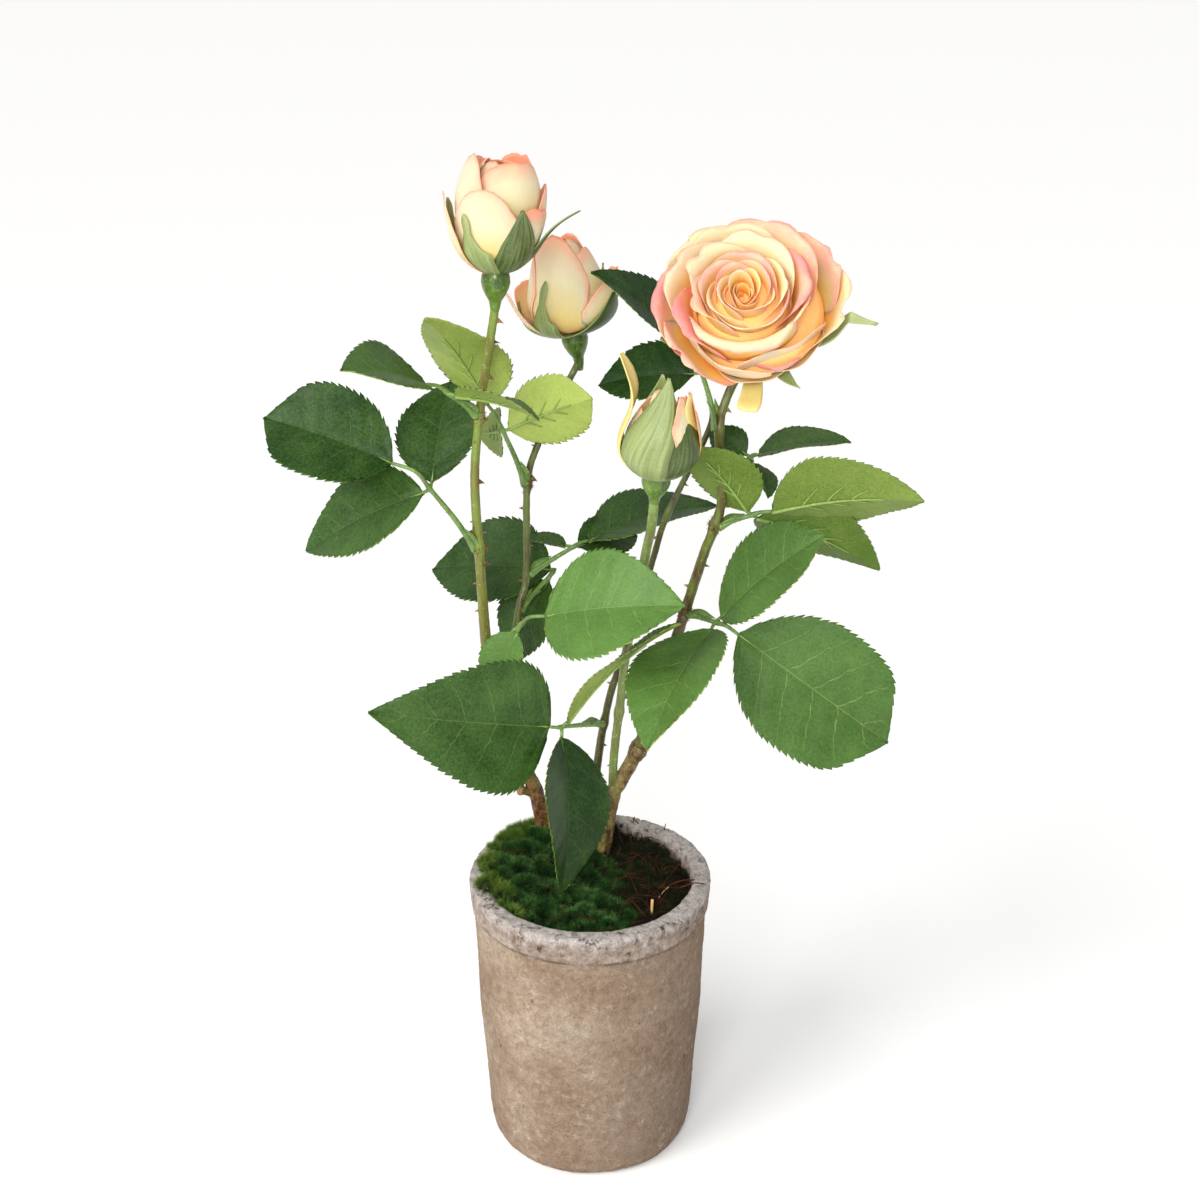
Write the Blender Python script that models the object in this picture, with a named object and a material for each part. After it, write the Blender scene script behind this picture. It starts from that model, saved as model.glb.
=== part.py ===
"""Artificial potted rose bush: a weathered clay pot filled with moss, two woody trunks, five thorny canes,
compound leaves of toothed leaflets, three rosebuds and one open rose.

Metres, +Z up. The origin is the middle of the pot's flat underside. Lengths below are in millimetres and
are scaled once, when a mesh is made. Headings turn from +X towards +Y, and rises are above the horizon.
"""
import math
from collections import namedtuple

import bmesh
import bpy
import numpy as np
from mathutils import Euler, Matrix, Vector

MM = 0.001
GAP = 0.3                      # clearance between neighbouring pieces
WELD = 0.002                   # vertices this close are one vertex

# --- pot ---------------------------------------------------------------------------------------------
POT_HEIGHT = 148.3
RIM_RADIUS = 60.0              # outer radius at the top of the rim band
RIM_WALL = 8.8
BAND_HEIGHT = 15.0             # the rim band stands a little proud of the body
BAND_STEP = 1.4
BODY_TOP_RADIUS = 58.0
BODY_FOOT_RADIUS = 52.0
FOOT_HEIGHT = 12.0             # height over which the body rounds in to its flat underside
UNDERSIDE_RADIUS = 46.5
BORE_FOOT_RADIUS = 45.0
FLOOR = 10.0                   # thickness of the pot's floor
POT_SIDES = 36

# --- moss --------------------------------------------------------------------------------------------
MOSS_LEVEL = 141.0             # height of the moss in the middle of the pot
MOSS_MOUND = 16.0              # how far it swells above that towards the left and back edge
MOSS_DIP = 3.0                 # how far it sinks towards the right
MOSS_MOUND_HEADING = 155.0
MOSS_EDGE_DROP = 3.0           # how far it rounds down where it meets the wall
MOSS_RINGS = 6

# --- stems -------------------------------------------------------------------------------------------
STEM_PITCH = 17.0              # spacing of the cross-sections along a stem
TRUNK_SIDES = 10
CANE_SIDES = 8
PETIOLE_SIDES = 5

# A stem: its route from foot to tip, and its radius at the foot and at the tip.
Stem = namedtuple("Stem", "route foot_radius tip_radius")
STEMS = {
    "left": Stem(
        [(-23, 38, 130), (-24, 38, 151), (-28, 36, 175), (-37, 33, 197), (-46, 28, 230), (-50, 24, 257),
         (-52, 17, 311), (-53, 12, 353), (-50, 10, 385), (-45, 10, 416), (-42, 10, 434), (-41.5, 10, 442)],
        4.2, 1.9),
    "left_back": Stem(
        [(-43, 30, 217), (-41, 31, 232), (-37, 34, 262), (-34, 38, 280), (-31, 42, 292), (-30, 46, 338),
         (-24, 49, 359), (-11, 54, 385), (-5.5, 56, 396), (-6, 56, 402)],
        2.0, 1.6),
    "right": Stem(
        [(5, 28, 128), (6, 28, 142), (11, 26, 177), (15, 25, 186), (25, 22, 209), (34, 18, 241),
         (45, 16, 282), (54, 16, 314), (59, 17, 328), (62, 18, 343), (60, 21, 374), (64, 25, 390),
         (71, 27, 404), (73.5, 25, 413), (73.5, 21, 418)],
        4.4, 2.0),
    "middle": Stem(
        [(11, 26, 174), (12, 23, 203), (15, 17, 236), (18, 11, 268), (26, -3, 322), (28, -13, 338),
         (29, -20, 353), (29.5, -22, 361)],
        2.1, 1.8),
    "right_back": Stem(
        [(-3, 33, 128), (4, 30, 196), (7, 28, 218), (11, 27, 238), (18, 26, 260), (30, 26, 306),
         (37, 27, 330), (55, 32, 368), (58, 35, 380)],
        2.6, 1.4),
}
LEFT_TRUNK_TOP = 230.0         # where the woody trunk gives way to the green cane
RIGHT_TRUNK_TOP = 209.0
STUB_HEIGHT = 173.0            # the cut side shoot of the left trunk
STUB_HEADING = 205.0
STUB_RISE = 25.0
STUB_LENGTH = 11.0
STUB_RADIUS = 2.9

# --- leaves ------------------------------------------------------------------------------------------
BLADE_THICKNESS = 0.95
BLADE_TEETH = 4                # teeth on each side
TOOTH_DEPTH = 0.07             # share of the half width
TOOTH_LEAN = 0.3               # how soon a notch follows the tooth before it
BLADE_BASE_POWER = 0.55        # how quickly the outline widens from the base
BLADE_TIP_POWER = 0.85         # and narrows to the tip
BLADE_ARCH = 28.0              # degrees that the midrib turns from base to tip
BLADE_FOLD = 12.0              # degrees that each half is folded up from the midrib
BLADE_END_WIDTH = 1.6
PETIOLE_FOOT_RADIUS = 1.5
PETIOLE_TIP_RADIUS = 0.8
RIB_REACH = 5.0                # how far a stalk runs on into its blade

# A leaf leaves its stem at a height and runs straight to the node, where its leaflets part. The end leaflet
# comes first. Each leaflet: stalk, length, width, heading, rise and roll.
Leaf = namedtuple("Leaf", "stem height heading rise petiole leaflets")
LEAVES = {
    "leaf_left_low": Leaf("right_back", 218, -125, 20, 38, [
        (8, 91, 67, 200, 15, -75), (4, 80, 30, -14, 47, -10), (5, 74, 56, -90, -60, -60)]),
    "leaf_left_high": Leaf("left", 317, -150, 55, 42, [
        (24, 64, 51, 165, 15, -40), (4, 55, 41, 80, 40, -5), (4, 67, 50, 170, -30, -35)]),
    "leaf_left_top": Leaf("left", 385, -140, 40, 22, [
        (14, 50, 40, -135, 20, -20), (4, 44, 32, -30, -5, -25)]),
    "leaf_middle_top": Leaf("left_back", 338, -140, 65, 33, [
        (18, 58, 46, -140, 55, 20), (3, 45, 36, -15, 25, -85), (4, 31, 25, 115, -20, 95)]),
    "leaf_middle_front": Leaf("left", 257, -45, 45, 34, [
        (18, 73, 58, -25, 15, 45), (4, 36, 27, -170, -68, -40)]),
    "leaf_back_left": Leaf("left_back", 275, 45, 30, 26, [
        (6, 68, 54, 155, -10, -35), (4, 47, 36, -165, -65, -35)]),
    "leaf_back_middle": Leaf("left_back", 292, 20, 25, 27, [
        (8, 67, 52, 15, 10, 0), (3, 36, 27, 35, -5, 30), (4, 22, 16, 165, 3, 0)]),
    "leaf_right_low": Leaf("right", 284, -40, 0, 18, [
        (14, 89, 68, -10, -35, 68), (4, 67, 46, -15, 45, 35), (4, 72, 56, -120, -30, 20)]),
    "leaf_right_high": Leaf("right", 328, -6, 20, 18, [
        (10, 71, 56, -15, 10, -55), (3, 46, 36, -160, 50, 45), (3, 72, 44, 15, -28, -50)]),
    "leaf_back_right": Leaf("right", 351, 45, 15, 21, [
        (4, 44, 34, -5, 10, 0), (3, 24, 18, 135, 15, -40), (3, 22, 20, -70, -30, -35)]),
    "leaf_behind_rose": Leaf("right", 374, 150, 70, 28, [
        (15, 56, 44, 185, 40, -15), (4, 47, 37, 163, -12, -35)]),
}

# --- flowers -----------------------------------------------------------------------------------------
PETAL_THICKNESS = 1.0
SEPAL_THICKNESS = 0.9
HIP_SIDES = 12
BUD_SIDES = 14
FOOT_CUT_RADIUS = 30.0
FOOT_CUT_DEPTH = 12.0
SEPAL_TWIST = 0.5              # how far one edge stands out and the other in, so that neighbours lap
PETAL_TWIST = 0.8
ROSE_TWIST = 1.8
FACET_ALLOWANCE = 0.25         # how far a flat facet may stand off the curve it stands for

# A bud: the stem that carries it, the height of its hip, its outline above the hip as (radius, height)
# pairs, its petal rings and its sepals. A ring: count, first heading, width, share of the outline covered,
# offset from the outline. A sepal: heading, width, share of the outline followed, flare at the tip.
Bud = namedtuple("Bud", "stem hip_height hip_radius outline core rings sepals")
BUDS = {
    "bud_left": Bud(
        "left", 11.0, 6.2,
        [(4.5, 0), (13, 1.5), (19, 8), (21, 18), (20.5, 29), (19, 38), (15, 46), (6, 50)], 0.8,
        [(4, -95, 33, 0.62, 0.0), (3, -125, 34, 0.95, -3.0)],
        [(-122, 17, 0.56, 0.0), (-55, 18, 0.60, 0.0), (5, 15, 0.66, 11.0), (85, 15, 0.60, 2.0),
         (160, 15, 0.60, 1.0)]),
    "bud_back": Bud(
        "left_back", 11.0, 6.0,
        [(4.5, 0), (12, 1), (18.5, 6), (22, 14), (22.5, 24), (19, 34), (14, 42), (5, 47)], 0.74,
        [(4, -20, 38, 0.64, 1.0), (3, -80, 36, 0.97, -4.0), (1, -12, 34, 0.58, 6.0)],
        [(-110, 15, 0.56, 0.0), (-45, 19, 0.46, 0.0), (40, 15, 0.60, 3.0), (115, 15, 0.60, 1.0),
         (178, 15, 0.52, 0.0)]),
    "bud_green": Bud(
        "middle", 9.5, 6.2,
        [(3.5, 0), (8, 2.5), (13.5, 9), (15.5, 17), (14, 27), (9.5, 36), (5, 44), (1.2, 50)], 0.86,
        [(3, -40, 26, 0.80, -0.6)],
        [(-118, 21, 0.99, 0.0), (-48, 20, 0.82, 0.5), (20, 17, 0.82, 3.0), (95, 18, 0.85, 3.0),
         (180, 12, 0.86, 9.0)]),
}

ROSE_STEM = "right"
ROSE_HIP_HEIGHT = 8.0
ROSE_HIP_RADIUS = 6.0
ROSE_CORE = [(4, 0), (13, 3), (21, 11), (24, 21), (20, 31), (13, 37), (6, 38), (1, 36)]
# A ring of the open rose: count, first heading, lean from the axis at the foot and at the lip, length,
# width, and the height of its foot.
RoseRing = namedtuple("RoseRing", "count heading lean_foot lean_lip length width foot")
ROSE_RINGS = [
    RoseRing(6, 45, 88, 38, 47, 45, 0.0),
    RoseRing(5, 60, 80, 12, 49, 44, 2.0),
    RoseRing(5, 95, 72, -8, 47, 38, 4.0),
    RoseRing(4, 10, 60, -22, 45, 30, 6.0),
]
ROSE_FOOT_RADIUS = 3.0
ROSE_SEPALS = [(-90, 11, 0.97, 7.0), (-12, 11, 1.12, 1.0), (55, 11, 0.90, 2.0), (124, 11, 0.90, 2.0),
               (200, 11, 1.0, 2.0)]

CLAY = ("#b3a392", 0.9)
MOSS = ("#3c5222", 1.0)
BARK = ("#7a5232", 0.8)
CANE = ("#6f7b38", 0.6)
LEAF = ("#3f6b35", 0.55)
CALYX = ("#7d9a52", 0.6)
CREAM = ("#f3dcae", 0.7)
PEACH = ("#f2b87c", 0.7)


# --- general helpers ---------------------------------------------------------------------------------
def linear(channel):
    """One sRGB channel, 0 to 1, as linear light."""
    return channel / 12.92 if channel <= 0.04045 else ((channel + 0.055) / 1.055) ** 2.4


def make_material(name, finish):
    """A Principled material from an sRGB hex colour and a roughness."""
    colour, roughness = finish
    channels = [linear(int(colour[i:i + 2], 16) / 255) for i in (1, 3, 5)]
    material = bpy.data.materials.new(name)
    material.use_nodes = True
    shader = material.node_tree.nodes["Principled BSDF"]
    shader.inputs["Base Color"].default_value = (*channels, 1)
    shader.inputs["Roughness"].default_value = roughness
    shader.inputs["Metallic"].default_value = 0.0
    return material


def direction(heading, rise):
    """The unit vector with this heading and rise, in degrees."""
    heading, rise = math.radians(heading), math.radians(rise)
    return Vector((math.cos(rise) * math.cos(heading), math.cos(rise) * math.sin(heading), math.sin(rise)))


def smooth_curve(points, steps=8):
    """Points along a Catmull-Rom curve through the given ones, as an array."""
    given = np.array([tuple(p) for p in points], float)
    padded = np.vstack([2 * given[0] - given[1], given, 2 * given[-1] - given[-2]])
    curve = []
    for i in range(1, len(padded) - 2):
        p0, p1, p2, p3 = padded[i - 1:i + 3]
        for k in range(steps):
            t = k / steps
            curve.append(0.5 * (2 * p1 + (p2 - p0) * t + (2 * p0 - 5 * p1 + 4 * p2 - p3) * t * t
                                + (3 * p1 - p0 - 3 * p2 + p3) * t ** 3))
    curve.append(given[-1])
    return np.array(curve)


class Route:
    """A smooth curve that is read by the distance along it."""

    def __init__(self, points):
        self.curve = smooth_curve(points)
        steps = np.linalg.norm(np.diff(self.curve, axis=0), axis=1)
        self.distance = np.concatenate([[0], np.cumsum(steps)])
        self.length = self.distance[-1]

    def at(self, distance):
        """The point at a distance from the start."""
        return np.array([np.interp(distance, self.distance, axis) for axis in self.curve.T])

    def heading(self, distance):
        """The unit tangent at a distance from the start."""
        step = min(1.0, self.length / 8)
        near = max(0.0, min(distance, self.length) - step)
        far = min(self.length, distance + step)
        tangent = self.at(far) - self.at(near)
        return tangent / np.linalg.norm(tangent)

    def at_height(self, height):
        """The distance along the route at which it climbs past a height."""
        return float(np.interp(height, self.curve[:, 2], self.distance))


def new_object(name, bm, material):
    """Turn a bmesh, in millimetres, into a scene object in metres with smooth round faces."""
    bmesh.ops.scale(bm, vec=(MM, MM, MM), verts=bm.verts)
    mesh = bpy.data.meshes.new(name)
    bm.to_mesh(mesh)
    bm.free()
    mesh.materials.append(material)
    mesh.shade_smooth()
    mesh.set_sharp_from_angle(angle=math.radians(40))
    piece = bpy.data.objects.new(name, mesh)
    bpy.context.scene.collection.objects.link(piece)
    return piece


def tube(points, tangents, radii, sides):
    """A bmesh tube with flat ends: one ring a point, square to its tangent."""
    bm = bmesh.new()
    side = Vector((0, 0, 1)) if abs(tangents[0][2]) < 0.9 else Vector((1, 0, 0))
    rings = []
    for point, tangent, radius in zip(points, tangents, radii):
        tangent = Vector(tangent)
        side = (side - side.dot(tangent) * tangent).normalized()
        other = tangent.cross(side)
        ring = []
        for k in range(sides):
            angle = 2 * math.pi * k / sides
            spoke = side * math.cos(angle) + other * math.sin(angle)
            ring.append(bm.verts.new(Vector(point) + spoke * radius))
        rings.append(ring)
    for near, far in zip(rings, rings[1:]):
        for k in range(sides):
            bm.faces.new((near[k], near[(k + 1) % sides], far[(k + 1) % sides], far[k]))
    bm.faces.new(list(reversed(rings[0])))
    bm.faces.new(rings[-1])
    return bm


def lathe(profile, sides):
    """A closed bmesh turned about Z from (radius, height) pairs; a radius of 0 makes a pole."""
    bm = bmesh.new()
    rings = []
    for radius, height in profile:
        if radius == 0:
            rings.append([bm.verts.new((0, 0, height))])
            continue
        angles = [2 * math.pi * k / sides for k in range(sides)]
        rings.append([bm.verts.new((radius * math.cos(a), radius * math.sin(a), height)) for a in angles])
    for low, high in zip(rings, rings[1:]):
        for k in range(sides):
            after = (k + 1) % sides
            corners = [low[k % len(low)], low[after % len(low)], high[after % len(high)], high[k % len(high)]]
            bm.faces.new(list(dict.fromkeys(corners)))
    return bm


def apply_modifiers(piece):
    """Give the object the mesh that its modifiers make, and drop them."""
    graph = bpy.context.evaluated_depsgraph_get()
    mesh = bpy.data.meshes.new_from_object(piece.evaluated_get(graph))
    old = piece.data
    piece.modifiers.clear()
    piece.data = mesh
    bpy.data.meshes.remove(old)


def drop(piece):
    """Remove an object and its mesh."""
    mesh = piece.data
    bpy.data.objects.remove(piece)
    bpy.data.meshes.remove(mesh)


def shell_volume(faces):
    """The signed volume inside a set of triangles."""
    volume = 0.0
    for face in faces:
        a, b, c = (vert.co for vert in face.verts)
        volume += a.dot(b.cross(c)) / 6
    return volume


def keep_largest(piece):
    """Drop every loose scrap and fill every sealed hollow that a Boolean left, keeping the one outer body."""
    bm = bmesh.new()
    bm.from_mesh(piece.data)
    bmesh.ops.triangulate(bm, faces=bm.faces)
    bmesh.ops.remove_doubles(bm, verts=bm.verts, dist=WELD * MM)
    bmesh.ops.dissolve_degenerate(bm, edges=bm.edges, dist=WELD * MM)
    bmesh.ops.triangulate(bm, faces=bm.faces)
    left = set(bm.faces)
    shells = []
    while left:
        seed = left.pop()
        shell, front = [seed], [seed]
        while front:
            for edge in front.pop().edges:
                if len(edge.link_faces) != 2:
                    continue
                for face in edge.link_faces:
                    if face in left:
                        left.remove(face)
                        shell.append(face)
                        front.append(face)
        shells.append(shell)
    shells.sort(key=shell_volume)
    scraps = [face for shell in shells[:-1] for face in shell]
    bmesh.ops.delete(bm, geom=scraps, context="FACES")
    bm.to_mesh(piece.data)
    bm.free()


def combine(piece, others, operation):
    """Join the others to the piece, or cut them from it, by one Boolean on a collection."""
    group = bpy.data.collections.new(piece.name + "_others")
    for other in others:
        group.objects.link(other)
    boolean = piece.modifiers.new("combine", "BOOLEAN")
    boolean.operation = operation
    boolean.operand_type = "COLLECTION"
    boolean.collection = group
    boolean.solver = "EXACT"
    apply_modifiers(piece)
    for other in others:
        drop(other)
    bpy.data.collections.remove(group)
    keep_largest(piece)


# --- stems -------------------------------------------------------------------------------------------
ROUTES = {name: Route(stem.route) for name, stem in STEMS.items()}


def stem_radius(name, distance):
    """A stem's radius at a distance from its foot: it tapers evenly."""
    stem = STEMS[name]
    share = min(max(distance / ROUTES[name].length, 0.0), 1.0)
    return stem.foot_radius + (stem.tip_radius - stem.foot_radius) * share


def stem_tube(stem, start, end, sides, grow=0.0):
    """The stretch of a stem between two distances, as a bmesh; grow makes it fatter and longer."""
    route = ROUTES[stem]
    count = max(2, round((end - start) / STEM_PITCH) + 1)
    stations = np.linspace(start, end, count)
    points = [route.at(s) for s in stations]
    tangents = [route.heading(s) for s in stations]
    points[0] = points[0] - grow * tangents[0]
    points[-1] = points[-1] + grow * tangents[-1]
    return tube(points, tangents, [stem_radius(stem, s) + grow for s in stations], sides)


def stem_cutter(stem, start, end, sides):
    """The same stretch, larger by the clearance, to cut its neighbours with."""
    cutter = new_object(stem + "_clearance", stem_tube(stem, start, end, sides, GAP), CUTTER_MATERIAL)
    cutter.hide_render = True
    cutter.display_type = "WIRE"
    return cutter


def make_stems():
    """Both trunks and the five canes. Returns the stretch that each piece takes of its stem."""
    left_top = ROUTES["left"].at_height(LEFT_TRUNK_TOP)
    right_top = ROUTES["right"].at_height(RIGHT_TRUNK_TOP)
    stretches = {
        "left_trunk": ("left", 0.0, left_top, TRUNK_SIDES),
        "cane_left": ("left", left_top + GAP, ROUTES["left"].length, CANE_SIDES),
        "cane_left_back": ("left_back", 0.0, ROUTES["left_back"].length, CANE_SIDES),
        "right_trunk": ("right", 0.0, right_top, TRUNK_SIDES),
        "cane_right": ("right", right_top + GAP, ROUTES["right"].length, CANE_SIDES),
        "cane_middle": ("middle", 0.0, ROUTES["middle"].length, CANE_SIDES),
        "cane_right_back": ("right_back", 0.0, ROUTES["right_back"].length, CANE_SIDES),
    }
    bark = make_material("bark", BARK)
    green = make_material("green_cane", CANE)
    stems = {}
    for name, stretch in stretches.items():
        material = bark if name.endswith("trunk") else green
        stems[name] = new_object(name, stem_tube(*stretch), material)
    combine(stems["left_trunk"], [make_stub(bark)], "UNION")
    for branch, parent in (("cane_left_back", "left_trunk"), ("cane_middle", "right_trunk")):
        combine(stems[branch], [stem_cutter(*stretches[parent])], "DIFFERENCE")
    return stretches


def make_stub(material):
    """The sawn-off side shoot on the left trunk, with its swollen end."""
    start = Vector(ROUTES["left"].at(ROUTES["left"].at_height(STUB_HEIGHT)))
    along = direction(STUB_HEADING, STUB_RISE)
    shares = (0.0, 0.6, 0.8, 0.95, 1.0)
    swells = (0.85, 0.8, 1.0, 1.0, 0.7)
    points = [start + along * STUB_LENGTH * share for share in shares]
    radii = [STUB_RADIUS * swell for swell in swells]
    return new_object("stub", tube(points, [along] * len(points), radii, CANE_SIDES), material)


# --- pot and moss ------------------------------------------------------------------------------------
def make_pot():
    """The clay pot, turned in one piece: tapered body, proud rim band, thick wall and floor."""
    band_foot = POT_HEIGHT - BAND_HEIGHT
    profile = [
        (0, 0),
        (UNDERSIDE_RADIUS, 0),
        (BODY_FOOT_RADIUS - 2.5, FOOT_HEIGHT * 0.14),
        (BODY_FOOT_RADIUS - 0.8, FOOT_HEIGHT * 0.45),
        (BODY_FOOT_RADIUS, FOOT_HEIGHT),
        (BODY_FOOT_RADIUS + 0.7 * (BODY_TOP_RADIUS - BODY_FOOT_RADIUS), band_foot * 0.58),
        (BODY_TOP_RADIUS, band_foot - BAND_STEP),
        (BODY_TOP_RADIUS + BAND_STEP, band_foot),
        (RIM_RADIUS + 0.3, POT_HEIGHT - 2.0),
        (RIM_RADIUS - 1.2, POT_HEIGHT),
        (RIM_RADIUS - RIM_WALL + 1.0, POT_HEIGHT),
        (RIM_RADIUS - RIM_WALL, POT_HEIGHT - 1.5),
        (BORE_FOOT_RADIUS, FLOOR),
        (0, FLOOR),
    ]
    return new_object("pot", lathe(profile, POT_SIDES), make_material("weathered_clay", CLAY))


def moss_height(radius, heading, edge_radius):
    """Height of the moss at a place: high at the back left, low at the right, and rounded off at the edge."""
    reach = radius / edge_radius
    facing = math.cos(math.radians(heading - MOSS_MOUND_HEADING))
    swell = MOSS_MOUND * max(facing, 0.0) + MOSS_DIP * min(facing, 0.0)
    return MOSS_LEVEL + swell * math.sin(math.pi / 2 * reach) - MOSS_EDGE_DROP * reach ** 8


def make_moss(stretches):
    """The moss that fills the pot, with a socket for each stem that stands in it."""
    wall_slope = (RIM_RADIUS - RIM_WALL - BORE_FOOT_RADIUS) / (POT_HEIGHT - 1.5 - FLOOR)
    foot_radius = BORE_FOOT_RADIUS - GAP
    bm = bmesh.new()
    angles = [2 * math.pi * k / POT_SIDES for k in range(POT_SIDES)]
    rings = [[bm.verts.new((0, 0, FLOOR + GAP))]]
    rings.append([bm.verts.new((foot_radius * math.cos(a), foot_radius * math.sin(a), FLOOR + GAP))
                  for a in angles])
    for step in range(MOSS_RINGS, 0, -1):
        ring = []
        for angle in angles:
            edge = foot_radius + wall_slope * (MOSS_LEVEL - MOSS_DIP - MOSS_EDGE_DROP - FLOOR)
            radius = edge * step / MOSS_RINGS
            height = moss_height(radius, math.degrees(angle), edge)
            ring.append(bm.verts.new((radius * math.cos(angle), radius * math.sin(angle), height)))
        rings.append(ring)
    rings.append([bm.verts.new((0, 0, MOSS_LEVEL))])
    for low, high in zip(rings, rings[1:]):
        for k in range(POT_SIDES):
            after = (k + 1) % POT_SIDES
            corners = [low[k % len(low)], low[after % len(low)], high[after % len(high)], high[k % len(high)]]
            bm.faces.new(list(dict.fromkeys(corners)))
    moss = new_object("moss_bed", bm, make_material("moss", MOSS))
    planted = ("left_trunk", "right_trunk", "cane_right_back")
    combine(moss, [stem_cutter(*stretches[name]) for name in planted], "DIFFERENCE")


# --- leaves ------------------------------------------------------------------------------------------
def blade_half_width(share):
    """Half width of a leaflet at a share of its length, as a share of the greatest half width."""
    widest = BLADE_BASE_POWER / (BLADE_BASE_POWER + BLADE_TIP_POWER)
    peak = widest ** BLADE_BASE_POWER * (1 - widest) ** BLADE_TIP_POWER
    return share ** BLADE_BASE_POWER * (1 - share) ** BLADE_TIP_POWER / peak


def blade_stations():
    """Shares of the length at which the outline turns, each with how far it is cut in: tooth, notch, ..."""
    stations = [(0.0, 0.0)]
    for tooth in range(1, BLADE_TEETH + 1):
        tip = tooth / (BLADE_TEETH + 0.6)
        stations.append((tip, 0.0))
        stations.append((tip + TOOTH_LEAN / (BLADE_TEETH + 1), TOOTH_DEPTH))
    stations.append((1.0, 0.0))
    return stations


def make_blade(length, width, material):
    """A leaflet with its foot at the origin, running along +X, upper side up: arched, folded and toothed."""
    stations = blade_stations()
    bm = bmesh.new()
    bmesh.ops.create_grid(bm, x_segments=len(stations) - 1, y_segments=2, size=1.0)
    arch = math.radians(BLADE_ARCH)
    fold = math.radians(BLADE_FOLD)
    bend = length / (2 * math.sin(arch / 2))
    for vert in bm.verts:
        station = round((vert.co.x + 1) / 2 * (len(stations) - 1))
        side = round(vert.co.y)
        share, cut = stations[station]
        half = blade_half_width(share) * width / 2 * (1 - cut)
        half = max(half, BLADE_END_WIDTH / 2)
        turn = arch * (share - 0.5)
        lift = half * math.sin(fold) * abs(side)
        vert.co = (
            length / 2 + bend * math.sin(turn) + lift * math.sin(turn),
            side * half * math.cos(fold),
            bend * (math.cos(turn) - math.cos(arch / 2)) + lift * math.cos(turn),
        )
    blade = new_object("blade", bm, material)
    thicken(blade, BLADE_THICKNESS)
    return blade


def thicken(piece, thickness):
    """Turn an open sheet into a closed plate with its middle on the sheet."""
    solidify = piece.modifiers.new("thickness", "SOLIDIFY")
    solidify.thickness = thickness * MM
    solidify.offset = 0.0
    solidify.use_even_offset = False
    apply_modifiers(piece)


def make_stalk(points, foot_radius, tip_radius, material):
    """A thin tapering stalk through a few points."""
    route = Route(points)
    stations = np.linspace(0, route.length, len(points) + 1)
    radii = np.linspace(foot_radius, tip_radius, len(stations))
    bm = tube([route.at(s) for s in stations], [route.heading(s) for s in stations], radii, PETIOLE_SIDES)
    return new_object("stalk", bm, material)


def make_leaf(name, leaf, stretches, material):
    """One compound leaf, fused from its petiole, stalks and leaflets, and cut clear of its own cane."""
    route = ROUTES[leaf.stem]
    foot = Vector(route.at(route.at_height(leaf.height)))
    along = direction(leaf.heading, leaf.rise)
    node = foot + along * leaf.petiole
    pieces = []
    for order, (stalk, length, width, heading, rise, roll) in enumerate(leaf.leaflets):
        ahead = direction(heading, rise)
        if order == 0:
            bend = node + along * stalk / 2
            base = bend + ahead * stalk / 2
            points = [foot, foot.lerp(node, 0.5), node, base, base + ahead * RIB_REACH]
            pieces.append(make_stalk(points, PETIOLE_FOOT_RADIUS, PETIOLE_TIP_RADIUS, material))
        else:
            base = node + ahead * stalk
            points = [node, base, base + ahead * RIB_REACH]
            pieces.append(make_stalk(points, PETIOLE_TIP_RADIUS * 1.2, PETIOLE_TIP_RADIUS, material))
        blade = make_blade(length, width, material)
        turn = Euler((math.radians(roll), math.radians(-rise), math.radians(heading)), "XYZ")
        blade.data.transform(Matrix.Translation(base * MM) @ turn.to_matrix().to_4x4())
        pieces.append(blade)
    whole = pieces[0]
    combine(whole, pieces[1:], "UNION")
    carriers = [s for s in stretches.values() if s[0] == leaf.stem]
    combine(whole, [stem_cutter(*s) for s in carriers], "DIFFERENCE")
    whole.name = name


# --- flowers -----------------------------------------------------------------------------------------
class Outline:
    """A flower's side view: a smooth curve of (radius, height) from its foot to its lip."""

    def __init__(self, points):
        self.route = Route([(radius, 0.0, height) for radius, height in points])

    def at(self, share, offset=0.0):
        """Radius and height at a share of the curve, moved out square to it."""
        distance = share * self.route.length
        point = self.route.at(min(distance, self.route.length))
        tangent = self.route.heading(min(distance, self.route.length))
        point = point + tangent * max(distance - self.route.length, 0.0)
        return point[0] + tangent[2] * offset, point[2] - tangent[0] * offset


def flower_frame(stem):
    """Where a flower stands: at its stem's tip, facing along it."""
    route = ROUTES[stem]
    facing = Vector(route.heading(route.length))
    tip = Vector(route.at(route.length)) + facing * GAP
    side = Vector((1, 0, 0))
    side = (side - side.dot(facing) * facing).normalized()
    turn = Matrix((side, facing.cross(side), facing)).transposed()
    return Matrix.Translation(tip * MM) @ turn.to_4x4()


def wrapped_sheet(outline, heading, width, reach, offset, flare, shape, across, along, twist=0.0):
    """A petal or sepal as an open sheet wrapped round the flower's axis.

    It follows the outline up to the share reach, at an offset that grows by flare at its tip. shape gives
    the half width at a share of its own length, and twist moves one edge out and the other in.
    """
    bm = bmesh.new()
    bmesh.ops.create_grid(bm, x_segments=along, y_segments=across, size=1.0)
    for vert in bm.verts:
        share = (vert.co.x + 1) / 2
        side = vert.co.y
        lip = 1.0 - 0.16 * abs(side) ** 2.4 if shape is petal_shape else 1.0
        share *= lip
        radius, height = outline.at(share * reach, offset + flare * share ** 5)
        radius = max(radius + twist * side, 0.3)
        spread = side * shape(share) * width / 2 / max(radius, width * 0.2)
        angle = math.radians(heading) + spread
        vert.co = (radius * math.cos(angle), radius * math.sin(angle), height)
    bmesh.ops.recalc_face_normals(bm, faces=bm.faces)
    return bm


def petal_shape(share):
    """Half width of a petal: narrow at its foot, broad from its middle on."""
    return 0.35 + 0.65 * min(1.0, share * 1.7) ** 0.7


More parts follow.
